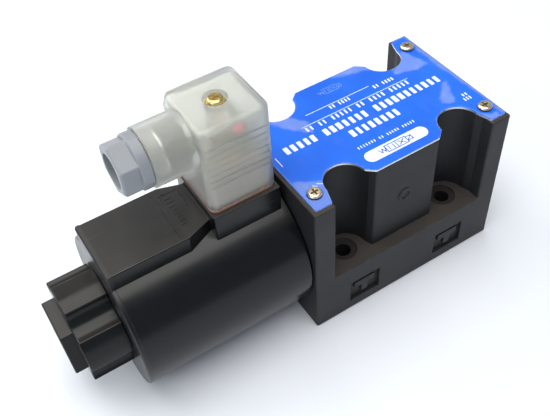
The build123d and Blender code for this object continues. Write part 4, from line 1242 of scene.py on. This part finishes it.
def valve_sign(x: float, y: float, side: float, height: float, width: float) -> list[Stroke]:
    """The standard sign of a two-position valve: two boxes with flow arrows, a coil box and a spring.

    Args:
        x: The x of its middle.
        y: The y of its middle.
        side: The length of one box.
        height: The height of the boxes.
        width: The width of the lines.

    Returns:
        The strokes.
    """
    low, high = y - height / 2, y + height / 2
    foot, tip = low + height * 0.2, high - height * 0.2
    strokes = [line_stroke(x - side, edge, x + side, edge, width) for edge in (low, high)]
    strokes += [line_stroke(x + k * side, low, x + k * side, high, width) for k in (-1, 0, 1)]
    strokes += [line_stroke(x - k * side, foot, x - k * side, tip, width) for k in (0.28, 0.72)]
    strokes += [line_stroke(x + side * (0.5 - lean), foot, x + side * (0.5 + lean), tip, width)
                for lean in (0.28, -0.28)]
    inner, outer = x + side, x + side * 1.5
    under, over = y - height * 0.3, y + height * 0.3
    strokes += [line_stroke(inner, edge, outer, edge, width) for edge in (under, over)]
    strokes.append(line_stroke(outer, under, outer, over, width))
    strokes.append(line_stroke(inner, under, outer, over, width))
    zigzags = 4
    reach = side * 0.16
    for k in range(zigzags):
        start = x - side - k * reach
        rise = height * 0.28 * (1 if k % 2 else -1)
        strokes.append(line_stroke(start, y - rise, start - reach, y + rise, width))
    return strokes


# ---- valve body -----------------------------------------------------------------------------
@dataclass
class ValveBody:
    """The casting and what is screwed, pressed and sealed into it."""

    def build(self) -> None:
        """Dress the casting and its hidden pieces."""
        dress(CastEnamel(), "valve_body")
        dress(SEAL_RUBBER, "port_o_rings", "end_plug_o_ring", "core_tube_o_ring", "override_pin_o_ring")
        dress(GROUND_STEEL, "spool", "spring_seat", "push_rod", "override_pin")
        dress(TURNED_STEEL, "pole_piece", "guide_tube", "tube_end_plug", "armature")
        dress(BLACK_OXIDE, "end_plug")
        dress(BRONZE, "non_magnetic_ring")
        dress(BRASS, "anti_residual_shim")
        self.spring()

    def spring(self) -> None:
        """Make the return spring, between the spool and the end plug, as a smooth-shaded copy of the CAD node's
        mesh, which stands in for the hidden node.
        """
        mesh = settled("return_spring_wire", merged_copy("return_spring"), SPRING_STEEL)
        mesh.shade_smooth()
        piece = placed("return_spring_wire", mesh)
        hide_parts("return_spring")
        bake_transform(piece)
        LOG.info("built %s with %d faces between spool_slide and housing", piece.name, len(mesh.polygons))


# ---- coil -----------------------------------------------------------------------------------
class WireTree(GeometryTree):
    """Geometry nodes that lay turns of round wire side by side about an axis along X."""

    TURN_POINTS = 72
    WIRE_POINTS = 8

    def __init__(self, name: str) -> None:
        """Build the tree.

        Args:
            name: The tree's name.
        """
        inputs = {"Turns": "Int", "Pitch": "Float", "Radius": "Float", "Wire": "Float", "Start": "Vector"}
        super().__init__(name, inputs)
        step = self.node("ShaderNodeCombineXYZ", {}, {"X": self.given["Pitch"]})
        row = self.node("GeometryNodeMeshLine", {}, {
            "Count": self.given["Turns"], "Start Location": self.given["Start"], "Offset": step.outputs[0],
        })
        turn = self.node("GeometryNodeCurvePrimitiveCircle", {}, {
            "Resolution": self.TURN_POINTS, "Radius": self.given["Radius"],
        })
        wire = self.node("GeometryNodeCurvePrimitiveCircle", {}, {
            "Resolution": self.WIRE_POINTS, "Radius": self.given["Wire"],
        })
        ring = self.node("GeometryNodeCurveToMesh", {}, {
            "Curve": turn.outputs["Curve"], "Profile Curve": wire.outputs["Curve"],
        })
        laid = self.node("GeometryNodeInstanceOnPoints", {}, {
            "Points": row.outputs["Mesh"], "Instance": ring.outputs["Mesh"], "Rotation": (0.0, math.pi / 2, 0.0),
        })
        self.end(laid.outputs["Instances"])


@dataclass
class Coil:
    """The moulded coil with its plates, winding, blades and nut."""

    wire_radius: float = 0.45 * MM
    turn_spacing: float = 2.06
    mark_rise: float = 0.16 * MM
    mark_seed: int = 11
    mark_count: int = 8
    mark_pitch: float = 2.1

    def build(self) -> None:
        """Dress the coil's pieces, wind its wire and add the moulded marks."""
        dress(COIL_BLACK, "coil_housing")
        dress(PLATE_BLACK, "coil_end_plate")
        dress(NUT_BLACK, "coil_nut")
        dress(SEAL_RUBBER, "coil_face_seal", "coil_nut_seal")
        dress(TURNED_STEEL, "coil_inner_plate", "yoke_ring")
        dress(BOBBIN_NYLON, "coil_bobbin")
        dress(TINNED, "coil_terminals")
        dress(BRASS, "terminal_insert")
        self.wind()
        self.mark_lid()

    def wind(self) -> None:
        """Wind the copper wire: close turns, side by side, over the solid ring."""
        low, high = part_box("coil_winding")
        radius = (high.y - low.y) / 2
        axis_z = (high.z + low.z) / 2
        pitch = self.wire_radius * self.turn_spacing
        turns = int((high.x - low.x - 2 * self.wire_radius) / pitch)
        mesh = WireTree("wire_turns").run(bpy.data.meshes.new("wire_seed"), {
            "Turns": turns, "Pitch": pitch, "Radius": radius, "Wire": self.wire_radius,
            "Start": (low.x + self.wire_radius, 0.0, axis_z), "Material": COPPER.material(),
        })
        mesh.shade_smooth()
        add_piece("winding_wire", mesh, "coil")
        dress(COPPER, "coil_winding")

    def mark_lid(self) -> None:
        """Add the moulded frame and plain bars on the lid of the coil, by the connector."""
        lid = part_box("coil_end_plate")[1].z
        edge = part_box("connector_gasket")[0].x / MM - 3.6
        bars = [
            Stroke(edge - 10.4, 0.0, 0.3, 27.0), Stroke(edge - 0.6, 5.2, 0.4, 9.6),
            Stroke(edge - 8.4, 5.2, 0.4, 9.6), Stroke(edge - 4.5, 10.0, 7.8, 0.4),
        ]
        draw = random.Random(self.mark_seed)
        for place in range(self.mark_count):
            across = 7.4 - place * self.mark_pitch
            bars.append(Stroke(edge - 5.6, across, draw.uniform(1.8, 2.6), draw.uniform(0.7, 1.3)))
        mesh = TileTree("lid_tiles").lay(bars, lid, self.mark_rise, LID_BLACK)
        add_piece("lid_marks", mesh, "coil")


# ---- connector ------------------------------------------------------------------------------
@dataclass
class PlugConnector:
    """The plug connector with its gland."""

    def build(self) -> None:
        """Dress the connector's pieces."""
        dress(GASKET_SILICONE, "connector_gasket")
        dress(MilkyHood(), "connector_housing")
        dress(CARRIER_NYLON, "contact_carrier")
        dress(TINNED, "contact_sockets")
        dress(YellowZinc("clamp_screw_zinc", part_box("terminal_clamp_screws")[1].z), "terminal_clamp_screws")
        dress(SolderMask(), "indicator_board")
        dress(TintedResin(), "indicator_lamp")
        dress(BRASS, "connector_screw", "connector_screw_washer")
        dress(SEAL_RUBBER, "gland_seal")
        dress(ZINC_WASHER, "gland_washer")
        dress(GLAND_GREY, "gland_nut")


# ---- studio ---------------------------------------------------------------------------------
@dataclass
class Studio:
    """The floor, the world and the soft lights."""

    floor_size: float = 3.0
    floor_gap: float = 0.05 * MM
    floor_squares: int = 8
    world: Colour = (0.80, 0.88, 1.0)
    world_strength: float = 0.34
    aim: Triple = (-0.04, 0.0, 0.04)

    def build(self) -> None:
        """Lay the floor and switch on the lights."""
        shape = bmesh.new()
        squares = self.floor_squares
        bmesh.ops.create_grid(shape, x_segments=squares, y_segments=squares, size=self.floor_size / 2)
        mesh = settled("studio_floor", shape, StudioFloor())
        floor = placed("studio_floor", mesh)
        floor.location.z = CAD_BOX[0].z - self.floor_gap
        world = bpy.data.worlds.new("studio_world")
        world.use_nodes = True
        background = world.node_tree.nodes["Background"]
        background.inputs["Color"].default_value = (*self.world, 1.0)
        background.inputs["Strength"].default_value = self.world_strength
        bpy.context.scene.world = world
        bpy.context.scene.view_settings.view_transform = "Standard"
        for light in (
            SoftLight("ceiling_light", (-0.1, 0.0, 1.1), self.aim, 1.3, 0.9, 13.0, (1.0, 0.985, 0.96)),
            SoftLight("back_light", (-0.75, 0.95, 0.75), self.aim, 1.2, 0.6, 8.0),
            SoftLight("side_light", (-1.0, -0.25, 0.6), self.aim, 0.7, 0.6, 3.0, (0.94, 0.97, 1.0)),
        ):
            light.switch_on()
        LOG.info("lit the studio")


def main() -> None:
    """Build the scene: the camera first, then the object, then the studio."""
    logging.basicConfig(level=logging.INFO, format="%(message)s")
    Viewpoint().place()
    for assembly in (ValveBody(), NamePlate(), Coil(), PlugConnector(), Studio()):
        assembly.build()


if __name__ == "__main__":
    main()
